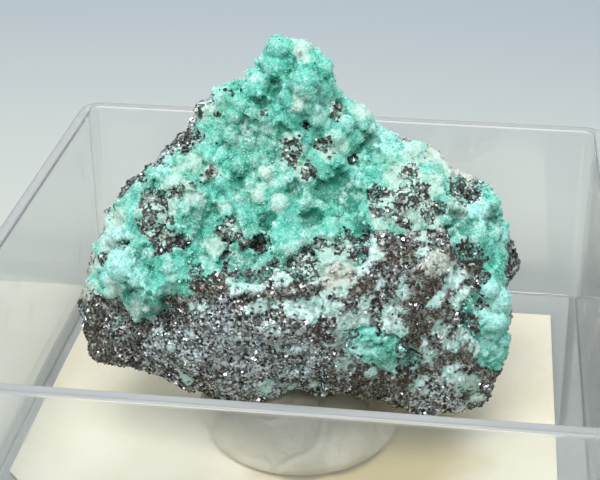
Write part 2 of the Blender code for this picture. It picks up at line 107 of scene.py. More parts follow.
# Where each kind of patch shows on the side that faces the viewer: across, up and radius, in millimetres on
# the sight plane.
PATCHES = {
    Patch.PALE: (
        (-0.7, 7.6, 1.3), (2.4, 7.8, 1.1), (0.5, 5.9, 0.8), (-12.5, 2.2, 1.5), (3.2, 11.0, 0.7),
        (-6.0, 0.8, 0.8), (14.6, 5.4, 0.8), (0.2, 16.3, 0.9), (-10.6, 4.9, 1.2), (-9.6, 4.6, 0.8),
        (-15.8, 1.6, 1.1), (-16.4, -0.4, 0.8), (-11.0, 2.6, 0.8), (-11.6, 1.6, 0.7), (-7.3, -0.5, 0.9),
        (-6.6, -0.9, 0.6), (-2.9, 5.7, 0.7), (-3.5, 3.7, 0.6), (-1.8, 3.2, 0.8), (-6.6, 2.9, 0.5),
        (9.0, 3.0, 2.4), (7.0, 2.2, 1.4), (10.9, 4.6, 1.4), (8.2, 5.4, 1.2), (11.2, 1.6, 1.0),
        (13.3, 2.8, 0.9), (2.8, -3.5, 1.1), (1.6, -2.6, 1.2), (3.6, -1.2, 1.3), (2.2, -0.8, 1.2),
        (11.7, -1.9, 1.2), (-18.1, -4.0, 1.1), (-17.6, -2.0, 0.9), (-16.0, -4.4, 0.8), (-12.0, 0.6, 1.1),
        (-0.1, 11.4, 0.5), (5.4, 11.2, 0.9), (-8.3, 11.1, 0.9), (-4.8, 14.2, 0.7), (9.6, 7.4, 1.1),
        (-7.6, 5.8, 0.8), (-8.9, 6.6, 0.7), (-13.9, -5.9, 0.8), (0.4, -1.9, 0.9), (11.4, 7.2, 1.0),
        (12.9, 6.0, 0.8), (14.1, 6.0, 0.6), (16.6, 4.2, 0.5), (4.0, -2.8, 0.8), (-9.0, 3.6, 0.8),
    ),
    Patch.ORE: (
        (-0.7, 7.5, 1.2), (2.2, 8.0, 0.8), (2.7, 7.5, 0.6), (0.6, 5.9, 0.7), (3.2, 11.2, 0.6),
        (3.0, 10.6, 0.4), (14.0, 4.5, 1.5), (15.7, 5.5, 0.7), (6.5, 3.8, 1.0), (10.4, 4.1, 0.8),
        (11.7, 2.8, 0.8), (7.2, 2.4, 0.6), (-12.4, 2.9, 1.2), (-12.9, 1.6, 1.1), (-11.6, 0.0, 1.3),
        (-10.2, -0.2, 0.8), (-6.3, 0.8, 0.9), (-5.5, 0.4, 0.5), (-3.5, -0.3, 1.0), (-4.4, 0.0, 0.6),
        (-6.4, -1.0, 0.4), (-10.4, 4.2, 0.5), (-9.2, 4.9, 0.4), (-9.3, 10.6, 0.7), (-8.0, 12.4, 0.6),
        (-8.9, 11.6, 0.7), (-11.0, 8.4, 1.1), (-10.0, 9.0, 0.8), (-12.4, 6.9, 0.8), (-9.9, 8.0, 0.6),
        (-7.6, 5.6, 0.6), (9.4, 3.8, 1.3), (7.4, 4.0, 0.8), (8.0, 2.6, 1.0), (10.8, 2.2, 0.9),
        (9.2, 5.6, 0.7), (6.2, 2.6, 0.6), (9.4, 5.0, 0.4), (8.8, 1.4, 0.6), (-16.9, -1.6, 0.5),
        (-16.4, 2.6, 0.5), (-14.6, 4.9, 0.6), (-2.9, 10.6, 0.28), (-6.3, 12.7, 0.3), (13.0, 4.4, 0.6),
        (14.7, -1.6, 1.2), (-13.6, 5.4, 0.5), (14.8, -3.2, 1.2), (14.4, -7.0, 1.0), (-2.0, -2.7, 1.0),
        (-0.5, -2.3, 1.0), (0.7, -1.3, 0.9), (1.9, -0.4, 0.8), (0.8, -2.9, 0.9), (-3.4, -2.9, 0.7),
        (4.0, -8.0, 1.0), (9.7, -9.6, 1.2), (9.2, -11.2, 0.9), (6.7, -7.7, 0.6), (4.9, -10.7, 0.7),
        (12.0, -0.6, 0.9), (10.6, 0.2, 0.9), (8.8, -0.4, 1.0), (3.2, -0.6, 0.9), (4.9, -0.9, 1.0),
        (5.7, 0.0, 0.7), (4.2, 0.3, 0.6), (5.6, -1.9, 0.7), (7.2, -0.2, 1.0), (-8.8, -3.6, 0.8),
        (-7.2, -3.6, 0.8), (-5.6, -3.5, 0.8), (-4.2, -3.3, 0.7), (14.0, -0.6, 0.8), (13.6, -5.2, 0.9),
        (8.3, 1.9, 0.5), (10.7, 3.2, 0.6), (15.4, -5.4, 0.5), (13.6, -8.4, 0.7), (18.0, -2.6, 0.5),
        (6.9, -9.9, 0.4), (8.6, -9.2, 0.5), (-8.8, -2.6, 0.7), (-14.9, -0.2, 0.4), (-17.4, -4.6, 0.5),
        (-10.8, 1.4, 0.6), (-5.6, 1.6, 0.4), (5.9, 5.2, 0.4), (-3.0, 2.2, 0.3), (-8.6, 8.9, 0.4),
        (-6.9, 10.6, 0.3), (0.6, 9.8, 0.3), (4.6, 7.0, 0.4),
    ),
    # Hollows that are sunk and painted a deep green as shade.
    Patch.DEEP: (
        (-2.3, 12.9, 0.9), (-3.4, 11.6, 0.8), (3.5, 4.8, 1.3), (4.2, 3.6, 1.2), (2.2, 4.2, 1.0),
        (6.0, 8.7, 0.6), (5.3, 1.4, 0.9), (-8.7, 1.9, 1.1), (-7.6, 2.9, 0.9), (-5.0, -1.3, 1.3),
        (-6.4, -0.2, 0.8), (13.7, 1.4, 1.1), (16.6, 2.0, 0.8), (12.6, 1.0, 0.7), (-0.4, 15.4, 0.4),
        (-0.4, 4.4, 0.8), (1.0, 2.0, 1.0), (-4.9, 9.4, 0.9), (-1.6, 9.2, 0.8), (-13.4, -1.3, 0.6),
        (-14.4, -4.4, 0.7), (1.4, 13.0, 0.5), (-5.3, 4.6, 0.7), (-2.8, 1.7, 0.8),
    ),
    Patch.FILM: (
        (-1.7, -3.0, 1.1), (-3.6, -3.6, 0.9), (-5.2, -3.9, 0.9), (0.2, -1.9, 1.2), (1.0, -3.2, 0.7),
        (-1.1, -5.6, 0.6), (-2.2, -5.6, 0.5), (0.2, -5.8, 0.5), (1.3, -5.5, 0.6), (2.6, -5.9, 0.8),
        (3.6, -10.3, 0.7), (4.8, -7.0, 1.0), (3.4, -7.4, 0.8), (5.6, -7.8, 0.9), (7.4, -7.2, 0.8),
        (7.8, -6.0, 0.6), (12.1, -7.6, 0.8), (13.7, -4.9, 1.0), (13.9, -7.9, 0.9), (8.7, -4.0, 0.7),
        (9.4, -9.4, 0.7), (11.0, -10.0, 0.7), (12.8, -11.4, 0.8), (10.2, -12.2, 0.7), (12.9, -8.8, 0.6),
        (14.0, -12.2, 0.9), (13.2, -3.0, 0.8), (5.2, -2.2, 0.8), (-9.2, -2.4, 1.0), (-10.6, -3.4, 0.8),
        (-8.6, -5.7, 0.4), (-12.6, -6.6, 0.5), (4.4, -9.0, 0.6), (14.6, -1.0, 0.8), (-0.6, -12.9, 0.6),
        (-3.0, -12.6, 0.6), (10.6, -1.2, 0.6), (16.6, -10.0, 0.7), (12.4, 7.2, 1.6), (14.4, 6.2, 1.0),
        (16.4, 4.6, 0.8), (17.2, 3.0, 0.8), (-9.6, 11.6, 0.8), (-10.9, 9.6, 0.7), (-12.6, 7.6, 0.8),
        (5.4, -5.2, 0.6), (14.9, -8.9, 0.6),
    ),
    Patch.BROWN: (
        (7.4, -1.2, 1.2), (9.4, -1.2, 1.0), (12.8, -2.0, 0.9), (14.6, -4.6, 1.1), (4.6, -4.4, 0.8),
        (7.6, -9.0, 0.8), (12.4, -9.8, 1.0), (10.6, -11.0, 0.8), (-17.4, -6.4, 1.2), (-15.4, -6.4, 1.0),
        (8.8, -12.6, 1.0), (14.0, -13.0, 0.8), (10.6, -4.0, 1.6), (10.1, -7.4, 1.9), (8.6, -6.4, 1.0),
        (-0.5, -4.4, 1.4), (1.0, -4.6, 0.8), (14.9, -2.2, 1.0), (14.8, -6.9, 1.0), (15.9, -10.4, 1.5),
        (6.1, -12.2, 1.8), (-8.2, -3.9, 1.2), (-6.4, -3.4, 0.9), (-9.8, -5.0, 1.0), (-13.8, -7.2, 1.3),
        (-17.6, -8.4, 1.6), (-16.6, -9.4, 1.2), (3.4, -12.0, 1.0), (14.4, -9.6, 0.9), (-2.6, -4.8, 0.9),
        (5.4, -4.2, 1.0), (-1.0, -6.9, 1.0), (12.0, -6.2, 1.0), (9.0, -11.4, 0.8), (1.0, -8.2, 1.0),
    ),
    # Patches of painted light: a paler pool on the crust and a bluish sheen on the stone's grains.
    Patch.BRIGHT: (
        (-1.2, -8.8, 2.6), (-3.4, -9.4, 2.6), (-5.8, -9.6, 2.2), (-2.4, -11.6, 1.8), (0.4, -10.4, 1.6),
        (-5.0, -11.8, 1.8), (-8.8, -8.8, 1.8), (-12.0, -8.6, 1.2), (12.6, -13.0, 1.4), (10.4, -13.6, 1.2),
        (-7.0, -7.0, 1.4), (16.6, -5.6, 2.2), (16.4, -9.0, 1.2), (-15.2, -2.2, 1.9), (-15.8, 0.6, 1.3),
        (-16.8, 1.8, 1.0), (-14.0, -4.0, 1.0), (15.4, 2.4, 1.4), (7.6, 8.9, 1.6), (9.6, 7.8, 1.2),
        (-7.4, 12.4, 1.0), (-11.6, 6.6, 1.0), (5.4, -9.6, 1.2),
    ),
}

# Flat flakes of the crust: three corners each, across and up.
FLAKES = (
    ((-15.3, -4.6), (-12.9, -4.3), (-13.8, -7.0)), ((-12.2, 4.2), (-10.5, 6.0), (-9.0, 4.2)),
    ((-8.2, -0.4), (-6.0, -0.2), (-7.2, -2.0)), ((12.4, 0.6), (16.6, 1.4), (14.6, 2.4)),
    ((3.4, 9.4), (5.0, 11.6), (6.2, 9.2)), ((-9.8, 10.0), (-7.6, 12.2), (-7.0, 10.2)),
)
# Cracks in the stone: the depth and width of each in millimetres, then its corners.
CRACKS = (
    (0.7, 0.45, ((-16.5, -5.4), (-14.6, -6.6), (-13.9, -7.3), (-12.4, -6.9), (-11.6, -6.4))),
    (0.35, 0.3, ((-0.4, -1.9), (1.2, -2.6), (2.6, -3.2), (4.2, -3.4))),
    (0.3, 0.4, ((1.7, -4.4), (1.2, -7.0), (2.0, -9.6), (1.6, -13.0))),
    (0.4, 0.4, ((-5.0, -12.6), (-3.0, -12.0), (0.4, -12.4), (3.6, -12.2))),
    (0.3, 0.35, ((6.8, -2.4), (8.4, -5.0), (8.0, -7.4))),
)

# The crust's rounded lumps on the same side: across, up and radius, in millimetres on the sight plane.
LUMPS = (
    (-2.0, 16.5, 1.1), (-1.3, 16.6, 0.8), (-2.0, 14.9, 1.5), (0.2, 16.1, 1.1), (2.0, 14.8, 1.0),
    (0.9, 15.0, 0.9), (0.4, 13.3, 1.5), (-3.4, 13.3, 1.2), (-3.9, 13.9, 0.9), (-2.9, 10.6, 0.8),
    (-0.1, 11.4, 0.6), (0.9, 12.3, 0.7), (1.6, 12.9, 0.8), (5.2, 10.4, 0.9), (5.9, 9.6, 0.7),
    (4.9, 8.7, 0.7), (3.3, 8.8, 0.7), (3.9, 9.9, 0.9), (1.5, 10.6, 1.0), (2.2, 9.8, 0.7), (-6.3, 12.3, 1.0),
    (-5.1, 11.6, 0.9), (-5.6, 10.6, 0.9), (-8.3, 11.1, 0.9), (-7.2, 8.7, 0.9), (-5.8, 8.9, 0.9),
    (-4.0, 9.6, 0.9), (-4.5, 8.2, 0.9), (-3.0, 8.4, 0.7), (-7.5, 5.8, 0.9), (-6.6, 7.3, 0.7),
    (-2.9, 5.7, 0.7), (-5.2, 6.4, 0.9), (-4.0, 6.7, 0.7), (0.6, 5.9, 0.8), (-3.5, 3.7, 0.8),
    (-1.8, 3.2, 1.0), (-4.3, 4.7, 0.7), (-5.3, 4.2, 0.9), (-6.6, 2.9, 0.6), (-1.0, 4.8, 0.6),
    (0.2, 2.8, 0.8), (1.4, 3.6, 0.7), (-9.1, 1.2, 0.9), (-9.6, 2.3, 0.7), (-15.2, -2.2, 1.6),
    (-13.6, -3.2, 1.2), (-12.9, -1.4, 0.9), (-15.3, 0.4, 0.9), (-16.3, -3.3, 0.9), (-14.4, -4.1, 0.8),
    (-12.3, 2.3, 1.4), (-16.0, -4.4, 0.8), (9.0, 3.2, 1.3), (7.4, 2.8, 1.0), (10.9, 2.6, 0.9),
    (15.3, 2.6, 1.1), (16.4, 3.1, 0.8), (14.9, 0.3, 1.2), (16.4, 0.6, 0.9), (13.4, -0.2, 0.8),
    (16.9, -5.1, 1.4), (16.6, -6.9, 1.2), (16.0, -4.2, 1.0), (17.3, -8.4, 0.8), (6.7, -9.4, 1.0),
    (8.0, -10.5, 0.8), (0.4, 0.2, 0.9), (-0.6, -0.6, 0.8), (2.6, 1.4, 0.8), (7.6, 8.6, 0.9),
    (9.2, 7.6, 0.8), (-13.6, 4.4, 0.8), (-11.3, 5.6, 0.8), (-10.6, 4.9, 0.9),
)


def linear(colour: str) -> tuple[float, float, float, float]:
    """Turns an sRGB hex colour to a linear one.

    Args:
        colour: Six hex digits after a hash.

    Returns:
        Red, green and blue, and a full alpha.
    """
    shares = [int(colour[start:start + 2], 16) / 255 for start in (1, 3, 5)]
    return (*(s / 12.92 if s <= 0.04045 else ((s + 0.055) / 1.055) ** 2.4 for s in shares), 1.0)


def smooth_step(share: Array) -> Array:
    """Eases shares from 0 to 1, and holds them there outside that range."""
    held = np.clip(share, 0, 1)
    return held * held * (3 - 2 * held)


def lots(cells: Array, seed: int) -> Array:
    """Draws three numbers from 0 to 1 for each cell of a lattice, always the same for the same cell.

    Args:
        cells: Rows of whole numbers.
        seed: Chooses another draw.

    Returns:
        One row of three numbers a cell.
    """
    x, y, z = cells.astype(np.int64).T
    mixed = (x * 73856093) ^ (y * 19349663) ^ (z * 83492791) ^ (seed * 2654435761)
    columns = []
    for _ in range(3):
        mixed = ((mixed ^ (mixed >> 15)) * 2246822519) & 0xFFFFFFFF
        columns.append(mixed / 2**32)
    return np.stack(columns, axis=1)


def noise_at(points: Array, size: float, seed: int = 0) -> Array:
    """Reads smooth noise at points.

    Args:
        points: Rows of X, Y and Z.
        size: The noise's wavelength.
        seed: Chooses another pattern.

    Returns:
        One value a point, from about -1 to 1.
    """
    scaled = points / size
    floor = np.floor(scaled)
    inside = scaled - floor
    eased = inside**3 * (inside * (inside * 6 - 15) + 10)
    total = np.zeros(len(points))
    for corner in itertools.product((0, 1), repeat=3):
        share = np.prod(np.where(corner, eased, 1 - eased), axis=1)
        total += share * np.einsum("ij,ij->i", lots(floor + corner, seed) * 2 - 1, inside - corner)
    return total * 1.8


def grains_at(points: Array, size: float, seed: int = 0) -> Array:
    """Reads how far points are from the middle of the nearest grain.

    Args:
        points: Rows of X, Y and Z.
        size: The grains' pitch.
        seed: Chooses another pattern.

    Returns:
        One distance a point, as a share of the pitch.
    """
    scaled = points / size
    floor = np.floor(scaled)
    nearest = np.full(len(points), 9.0)
    for step in itertools.product((-1, 0, 1), repeat=3):
        cells = floor + step
        nearest = np.minimum(nearest, np.linalg.norm(scaled - cells - lots(cells, seed), axis=1))
    return nearest


@dataclass(frozen=True)
class Viewpoint:
    """Where the specimen is looked at from, and the sight plane through its middle.

    Attributes:
        eye: The eye before the stone's frame is turned.
        turn: The stone's turn about +Z, in the box.
        down: How far the eye looks down.
        distance: From the eye to the sight plane.
        lens: The camera's focal length in millimetres on its 36 mm sensor.
    """

    eye: tuple[float, float, float] = (-0.6 * MM, -116.0 * MM, 82.1 * MM)
    turn: float = math.radians(7.5)
    down: float = math.radians(28)
    distance: float = 123.25 * MM
    lens: float = 87.0

    def turned(self, vector: tuple[float, float, float]) -> Vector:
        """Turns a vector of the stone's frame into the box's."""
        out = Vector(vector)
        out.rotate(Euler((0, 0, self.turn)))
        return out

    @property
    def place(self) -> Vector:
        """The eye's place."""
        return self.turned(self.eye)

    @property
    def axes(self) -> tuple[Vector, Vector, Vector]:
        """The directions across, up and forward."""
        sine, cosine = math.sin(self.down), math.cos(self.down)
        return self.turned((1, 0, 0)), self.turned((0, sine, cosine)), self.turned((0, cosine, -sine))

    def line(self, across: float, up: float) -> Vector:
        """The way from the eye through a place on the sight plane."""
        right, upward, forward = self.axes
        return right * across + upward * up + forward * self.distance

    def seen(self, points: Array) -> Array:
        """Where points show on the sight plane.

        Args:
            points: Rows of X, Y and Z.

        Returns:
            Rows of across and up.
        """
        right, upward, forward = (np.array(axis) for axis in self.axes)
        away = points - np.array(self.place)
        scale = self.distance / (away @ forward)
        return np.stack(((away @ right) * scale, (away @ upward) * scale), axis=1)

    def towards(self, points: Array) -> Array:
        """The unit ways from points to the eye."""
        ways = np.array(self.place) - points
        return ways / np.linalg.norm(ways, axis=1)[:, None]

    def facing(self, points: Array, ways: Array, past: float) -> Array:
        """Tells how much a surface faces the eye.

        Args:
            points: Rows of X, Y and Z.
            ways: The ways out of the surface there.
            past: How far the share reaches around the edge.

        Returns:
            One share a point, which fades out where the surface is seen edge on.
        """
        return smooth_step(np.einsum("ij,ij->i", ways, self.towards(points)) * 3 + past)


VIEW = Viewpoint()


def deselect_all() -> None:
    """Clears the selection, so that an operator meets only its own piece."""
    for obj in bpy.context.scene.objects:
        obj.select_set(False)


def take_up(obj: Piece) -> Piece:
    """Selects one object alone and makes it the active one."""
    deselect_all()
    obj.select_set(True)
    bpy.context.view_layer.objects.active = obj
    return obj


def new_piece(name: str, mesh: bpy.types.Mesh) -> Piece:
    """Links a mesh to the scene as a piece of its own, at the origin."""
    obj = bpy.data.objects.new(name, mesh)
    bpy.context.scene.collection.objects.link(obj)
    return take_up(obj)


def remesh(piece: Piece, face: float, rounds: int, factor: float = 0.5) -> None:
    """Covers a piece with even faces of one size, and eases them for some rounds."""
    apply_modifier(piece, "REMESH", mode="VOXEL", voxel_size=face)
    apply_modifier(piece, "SMOOTH", factor=factor, iterations=rounds)


def apply_modifier(obj: Piece, kind: str, **settings: object) -> None:
    """Adds one modifier to a piece and applies it.

    Args:
        obj: The piece.
        kind: The modifier's type.
        **settings: Its values.
    """
    take_up(obj)
    modifier = obj.modifiers.new(kind.title(), kind)
    for name, value in settings.items():
        setattr(modifier, name, value)
    bpy.ops.object.modifier_apply(modifier=modifier.name)
    log.info("%s: %s applied", obj.name, kind)


@contextmanager
def editing(piece: Piece) -> Iterator[None]:
    """Takes a piece into edit mode with all of it selected, and back out."""
    take_up(piece)
    bpy.ops.object.mode_set(mode="EDIT")
    bpy.ops.mesh.select_all(action="SELECT")
    yield
    bpy.ops.object.mode_set(mode="OBJECT")


def add(primitive: Callable[..., set[str]], name: str, **settings: object) -> Piece:
    """Adds one of Blender's primitives as a piece.

    Args:
        primitive: The operator that adds it.
        name: The piece's name.
        **settings: The operator's values.

    Returns:
        The piece.
    """
    deselect_all()
    primitive(**settings)
    piece = bpy.context.object
    piece.name = piece.data.name = name
    return piece


def copy_of_node(node: str, name: str) -> Piece:
    """Copies a CAD node's mesh as a new piece, with its loose triangles merged into one skin."""
    piece = new_piece(name, frame["nodes"][node].data.copy())
    piece.data.materials.clear()
    with editing(piece):
        bpy.ops.mesh.remove_doubles(threshold=0.002 * MM)
    return piece


def finish_piece(piece: Piece, material: Material, slot: str, *nodes: str) -> None:
    """Gives a piece its material, and joins it to the frame.

    Args:
        piece: The finished piece.
        material: What covers it.
        slot: Not used.
        *nodes: The CAD nodes that it stands for.
    """
    piece.data.materials.append(material)
    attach(piece, BODY)
    if nodes:
        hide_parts(*nodes)
    log.info("%s: %d triangles", piece.name, sum(len(face.vertices) - 2 for face in piece.data.polygons))


class Skin:
    """A mesh's surface as arrays: its points, its ways out, and the faces between them."""

    def __init__(self, mesh: bpy.types.Mesh) -> None:
        """Reads the arrays from a mesh.

        Args:
            mesh: Any mesh.
        """
        self.mesh = mesh
        count = len(mesh.vertices)
        self.points = np.empty(count * 3, np.float32)
        mesh.vertices.foreach_get("co", self.points)
        self.points = self.points.reshape(-1, 3).astype(float)
        self.ways = np.empty(count * 3, np.float32)
        mesh.vertex_normals.foreach_get("vector", self.ways)
        self.ways = self.ways.reshape(-1, 3).astype(float)
        self.edges = np.empty(len(mesh.edges) * 2, np.int32)
        mesh.edges.foreach_get("vertices", self.edges)
        self.edges = self.edges.reshape(-1, 2)

    def eased(self, values: Array, rounds: int) -> Array:
        """Averages values with those of the neighbours, several times over.

        Args:
            values: One row a point.
            rounds: How many times.

        Returns:
            The eased rows.
        """
        one, other = self.edges.T
        count = len(self.points)
        degree = np.bincount(self.edges.ravel(), minlength=count).clip(1)
        out = values.astype(float)
        for _ in range(rounds):
            columns = [
                np.bincount(one, column[other], count) + np.bincount(other, column[one], count)
                for column in out.T
            ]
            out = (out + np.stack(columns, axis=1) / degree[:, None]) / 2
        return out

    def relief(self, rounds: int) -> Array:
        """How far each point stands out of the eased skin; hollows are negative."""
        return np.einsum("ij,ij->i", self.points - self.eased(self.points, rounds), self.ways)

    def move(self, heights: Array) -> None:
        """Moves each point out by its height, in the mesh too."""
        self.place(self.points + self.ways * heights[:, None])

    def place(self, points: Array) -> None:
        """Puts the points elsewhere, in the mesh too."""
        self.points = points
        self.mesh.vertices.foreach_set("co", points.astype(np.float32).ravel())
        self.mesh.update()

    def store(self, name: str, values: Array) -> None:
        """Keeps one number a point as an attribute of the mesh."""
        layer = self.mesh.attributes.new(name, "FLOAT", "POINT")
        layer.data.foreach_set("value", values.astype(np.float32))

    def stored(self, name: str) -> Array:
        """Reads an attribute's numbers back."""
        values = np.empty(len(self.points), np.float32)
        self.mesh.attributes[name].data.foreach_get("value", values)
        return values


@dataclass(frozen=True)
class PatchReader:
    """Tells how strongly each kind of patch shows at points of the specimen.

    Attributes:
        softness: How wide a patch's edge is.
        wander: How far its edge wanders, over the two sizes below.
        drift: The size of the film's small patches, their threshold, and how many more are at the right.
        drift_from: From which place across there are more of them, and over which width.
        seeds: Of the wandering edge, of the film's small patches and of the back's patches.
        sharp: How sharply the film's small patches and the back's patches end.
        back_patches: The patches' size and threshold on the side that the viewer doesn't see, by kind.
    """

    softness: float = 0.35 * MM
    wander: Pairs = ((0.55 * MM, 1.1 * MM), (0.35 * MM, 0.42 * MM))
    drift: tuple[float, float, float] = (1.7 * MM, 0.58, 0.22)
    drift_from: Pair = (-1 * MM, 4 * MM)
    seeds: tuple[int, int, int] = (7, 41, 31)
    sharp: Pair = (10, 6)
    # On this side too, the shaded hollows are painted shade and the painted light patches are painted light.
    back_patches: dict[Patch, Pair] = field(default_factory=lambda: {
        Patch.PALE: (3.1 * MM, 0.42), Patch.ORE: (2.3 * MM, 0.34), Patch.DEEP: (1.9 * MM, 0.45),
        Patch.FILM: (3.6 * MM, 0.30), Patch.BROWN: (4.2 * MM, 0.16), Patch.BRIGHT: (5.0 * MM, 0.2),
    })

    def read(self, points: Array, ways: Array) -> dict[Patch, Array]:
        """Reads every kind of patch.

        Args:
            points: Rows of X, Y and Z.
            ways: The ways out of the surface there.

        Returns:
            For each kind, one strength a point, from 0 to 1.
        """
        shown = VIEW.seen(points)
        facing = VIEW.facing(points, ways, 1.2)
        edge_seed, drift_seed, back_seed = self.seeds
        edge = sum(depth * noise_at(points, size, edge_seed) for depth, size in self.wander)
        strengths = {}
        for order, (kind, patches) in enumerate(PATCHES.items()):
            inside = np.full(len(points), -1.0)
            for across, up, radius in patches:
                away = np.hypot(shown[:, 0] - across * MM, shown[:, 1] - up * MM)
                inside = np.maximum(inside, radius * MM - away)
            front = smooth_step((inside + edge) / self.softness + 0.5)
            if kind is Patch.FILM:
                size, low_share, more = self.drift
                start, width = self.drift_from
                drift = noise_at(points, size, drift_seed) + more * smooth_step((shown[:, 0] - start) / width)
                front = np.maximum(front, smooth_step((drift + edge / MM * 0.3 - low_share) * self.sharp[0]))
            size, threshold = self.back_patches[kind]
            over = noise_at(points, size, back_seed + order) - threshold
            back = smooth_step(over * self.sharp[1] + 0.5)
            strengths[kind] = front * facing + back * (1 - facing)
        return strengths


def tree_of(piece: Piece) -> BVHTree:
    """Builds a search tree of a piece's surface."""
    corners = [vert.co.copy() for vert in piece.data.vertices]
    return BVHTree.FromPolygons(corners, [tuple(face.vertices) for face in piece.data.polygons])


def heights_over(ground: BVHTree, points: Array) -> tuple[Array, Array, Array]:
    """Measures points from the nearest place of a ground.

    Args:
        ground: The ground's surface.
        points: Rows of X, Y and Z.

    Returns:
        Each point's foot on the ground, the way up from there, and its height, negative inside the ground.
    """
    feet, ups = np.empty_like(points), np.empty_like(points)
    for index, point in enumerate(points):
        feet[index], ups[index], _, _ = ground.find_nearest(Vector(point))
    return feet, ups, np.einsum("ij,ij->i", points - feet, ups)


def choose(piece: Piece, part: str, test: Callable[[object], bool]) -> None:
    """Selects a piece's edges or faces in edit mode.

    Args:
        piece: The piece, in edit mode.
        part: Either edges or faces.
        test: Says which ones.
    """
    bpy.ops.mesh.select_all(action="DESELECT")
    bm = bmesh.from_edit_mesh(piece.data)
    for item in getattr(bm, part):
        if test(item):
            item.select_set(True)
    bmesh.update_edit_mesh(piece.data)


class Clouds(NamedTuple):
    """Soft-edged patches of noise: its wavelength and detail, and the values between which they fade in."""

    size: float
    detail: float
    low: float
    high: float


class Finish:
    """A material as it is being wired: nodes, patches, noise and ramps, and colours laid over each other."""

    def __init__(self, name: str) -> None:
        """Starts a material with a Principled BSDF.

        Args:
            name: The material's name.
        """
        self.material = bpy.data.materials.new(name)
        self.material.use_nodes = True
        self.tree = self.material.node_tree
        self.where = self.add("TexCoord").outputs["Object"]

    def add(self, kind: str, inputs: dict[str | int, object] | None = None, **settings: object) -> Node:
        """Adds a node.

        Args:
            kind: The node's type, without its ShaderNode.
            inputs: For each input, a value or another node's output.
            **settings: The node's own values.

        Returns:
            The node.
        """
        node = self.tree.nodes.new("ShaderNode" + kind)
        for name, value in settings.items():
            setattr(node, name, value)
        for key, value in (inputs or {}).items():
            self.feed(node, key, value)
        return node

    def feed(self, node: Node, key: str | int, value: object) -> None:
        """Sets an input of a node, or links an output to it."""
        if isinstance(value, Socket):
            self.tree.links.new(value, node.inputs[key])
        else:
            node.inputs[key].default_value = value

    def value(self, name: str) -> Socket:
        """An attribute of the mesh."""
        return self.add("Attribute", attribute_name=name).outputs["Fac"]

    def patch(self, kind: Patch) -> Socket:
        """A patch's strength."""
        return self.value(kind.value)

    def along(self, axis: str) -> Socket:
        """A point's place along X, Y or Z."""
        return self.add("SeparateXYZ", {0: self.where}).outputs[axis]

    def noise(self, size: float, detail: float) -> Socket:
        """Noise of a wavelength in metres."""
        made = self.add("TexNoise", {"Vector": self.where, "Scale": 1 / size, "Detail": detail})
        return made.outputs["Fac"]

    def ramp(self, source: Socket, low: float, high: float) -> Socket:
        """Stretches a value's range from low to high on to 0 to 1."""
        inputs = {"Value": source, "From Min": low, "From Max": high}
        return self.add("MapRange", inputs, interpolation_type="SMOOTHSTEP").outputs["Result"]

    def clouds(self, clouds: Clouds) -> Socket:
        """Soft-edged patches of noise."""
        return self.ramp(self.noise(clouds.size, clouds.detail), clouds.low, clouds.high)

    def math(self, operation: str, one: object, other: object) -> Socket:
        """One sum of two values, held between 0 and 1."""
        return self.add("Math", {0: one, 1: other}, operation=operation, use_clamp=True).outputs[0]

    def times(self, *shares: object) -> Socket:
        """The product of two or more shares."""
        return functools.reduce(lambda one, other: self.math("MULTIPLY", one, other), shares)

    def mix(self, share: object, one: object, other: object) -> Socket:
        """Mixes two colours."""
        made = self.add("Mix", {"Factor": share}, data_type="RGBA", clamp_factor=True)
        for key, colour in ((6, one), (7, other)):
            self.feed(made, key, linear(colour) if isinstance(colour, str) else colour)
        return made.outputs[2]

    def over(self, base: object, *layers: tuple[object, ...]) -> Socket:
        """Lays colours over a base, each as thickly as the product of its shares.

        Args:
            base: The lowest colour.
            *layers: The next ones, each with its shares after it.

        Returns:
            The colour that shows.
        """
        for colour, *shares in layers:
            base = self.mix(self.times(*shares), base, colour)
        return base

    def steps(self, source: Socket, stops: Stops) -> Socket:
        """Picks one colour for each stretch of a value from 0 to 1."""
        ramp = self.add("ValToRGB", {0: source})
        ramp.color_ramp.interpolation = "CONSTANT"
        elements = ramp.color_ramp.elements
        while len(elements) < len(stops):
            elements.new(0.5)
        for element, (place, colour) in zip(elements, stops):
            element.position = place
            element.color = linear(colour)
        return ramp.outputs["Color"]

    def cells(self, size: float, kind: str = "F1") -> Node:
        """Voronoi cells about as wide as size."""
        return self.add("TexVoronoi", {"Vector": self.where, "Scale": 1 / size}, feature=kind)

    def lots(self, cells: Node) -> bpy.types.NodeOutputs:
        """Three random shares for each cell."""
        return self.add("SeparateColor", {0: cells.outputs["Color"]}).outputs

    def island(self) -> Socket:
        """A random share for each loose form of a mesh."""
        return self.add("NewGeometry").outputs["Random Per Island"]

    def vector(self, operation: str, one: object, other: object) -> bpy.types.NodeOutputs:
        """One sum of two vectors, or of a vector and a scale."""
        second = "Scale" if operation == "SCALE" else 1
        return self.add("VectorMath", {0: one, second: other}, operation=operation).outputs

    def faceted_way(self, cells: Node, tilt: float) -> Socket:
        """Tilts the surface's normal at random, so that each cell is a facet of its own."""
        away = self.vector("SUBTRACT", cells.outputs["Color"], (0.5, 0.5, 0.5))[0]
        normal = self.add("NewGeometry").outputs["Normal"]
        total = self.vector("ADD", normal, self.vector("SCALE", away, tilt)[0])[0]
        return self.add("VectorMath", {0: total}, operation="NORMALIZE").outputs[0]

    def bump(self, height: Socket, depth: float, way: Socket | None = None) -> Socket:
        """Raises the surface by a height from 0 to 1, over a depth in metres."""
        inputs = {"Height": height, "Distance": depth}
        if way is not None:
            inputs["Normal"] = way
        return self.add("Bump", inputs).outputs["Normal"]

    def shade(self, **inputs: object) -> Material:
        """Sets the Principled BSDF's inputs, with underscores for spaces, and hands the material over."""
        for name, value in inputs.items():
            self.feed(self.tree.nodes["Principled BSDF"], name.replace("_", " "), value)
        return self.material


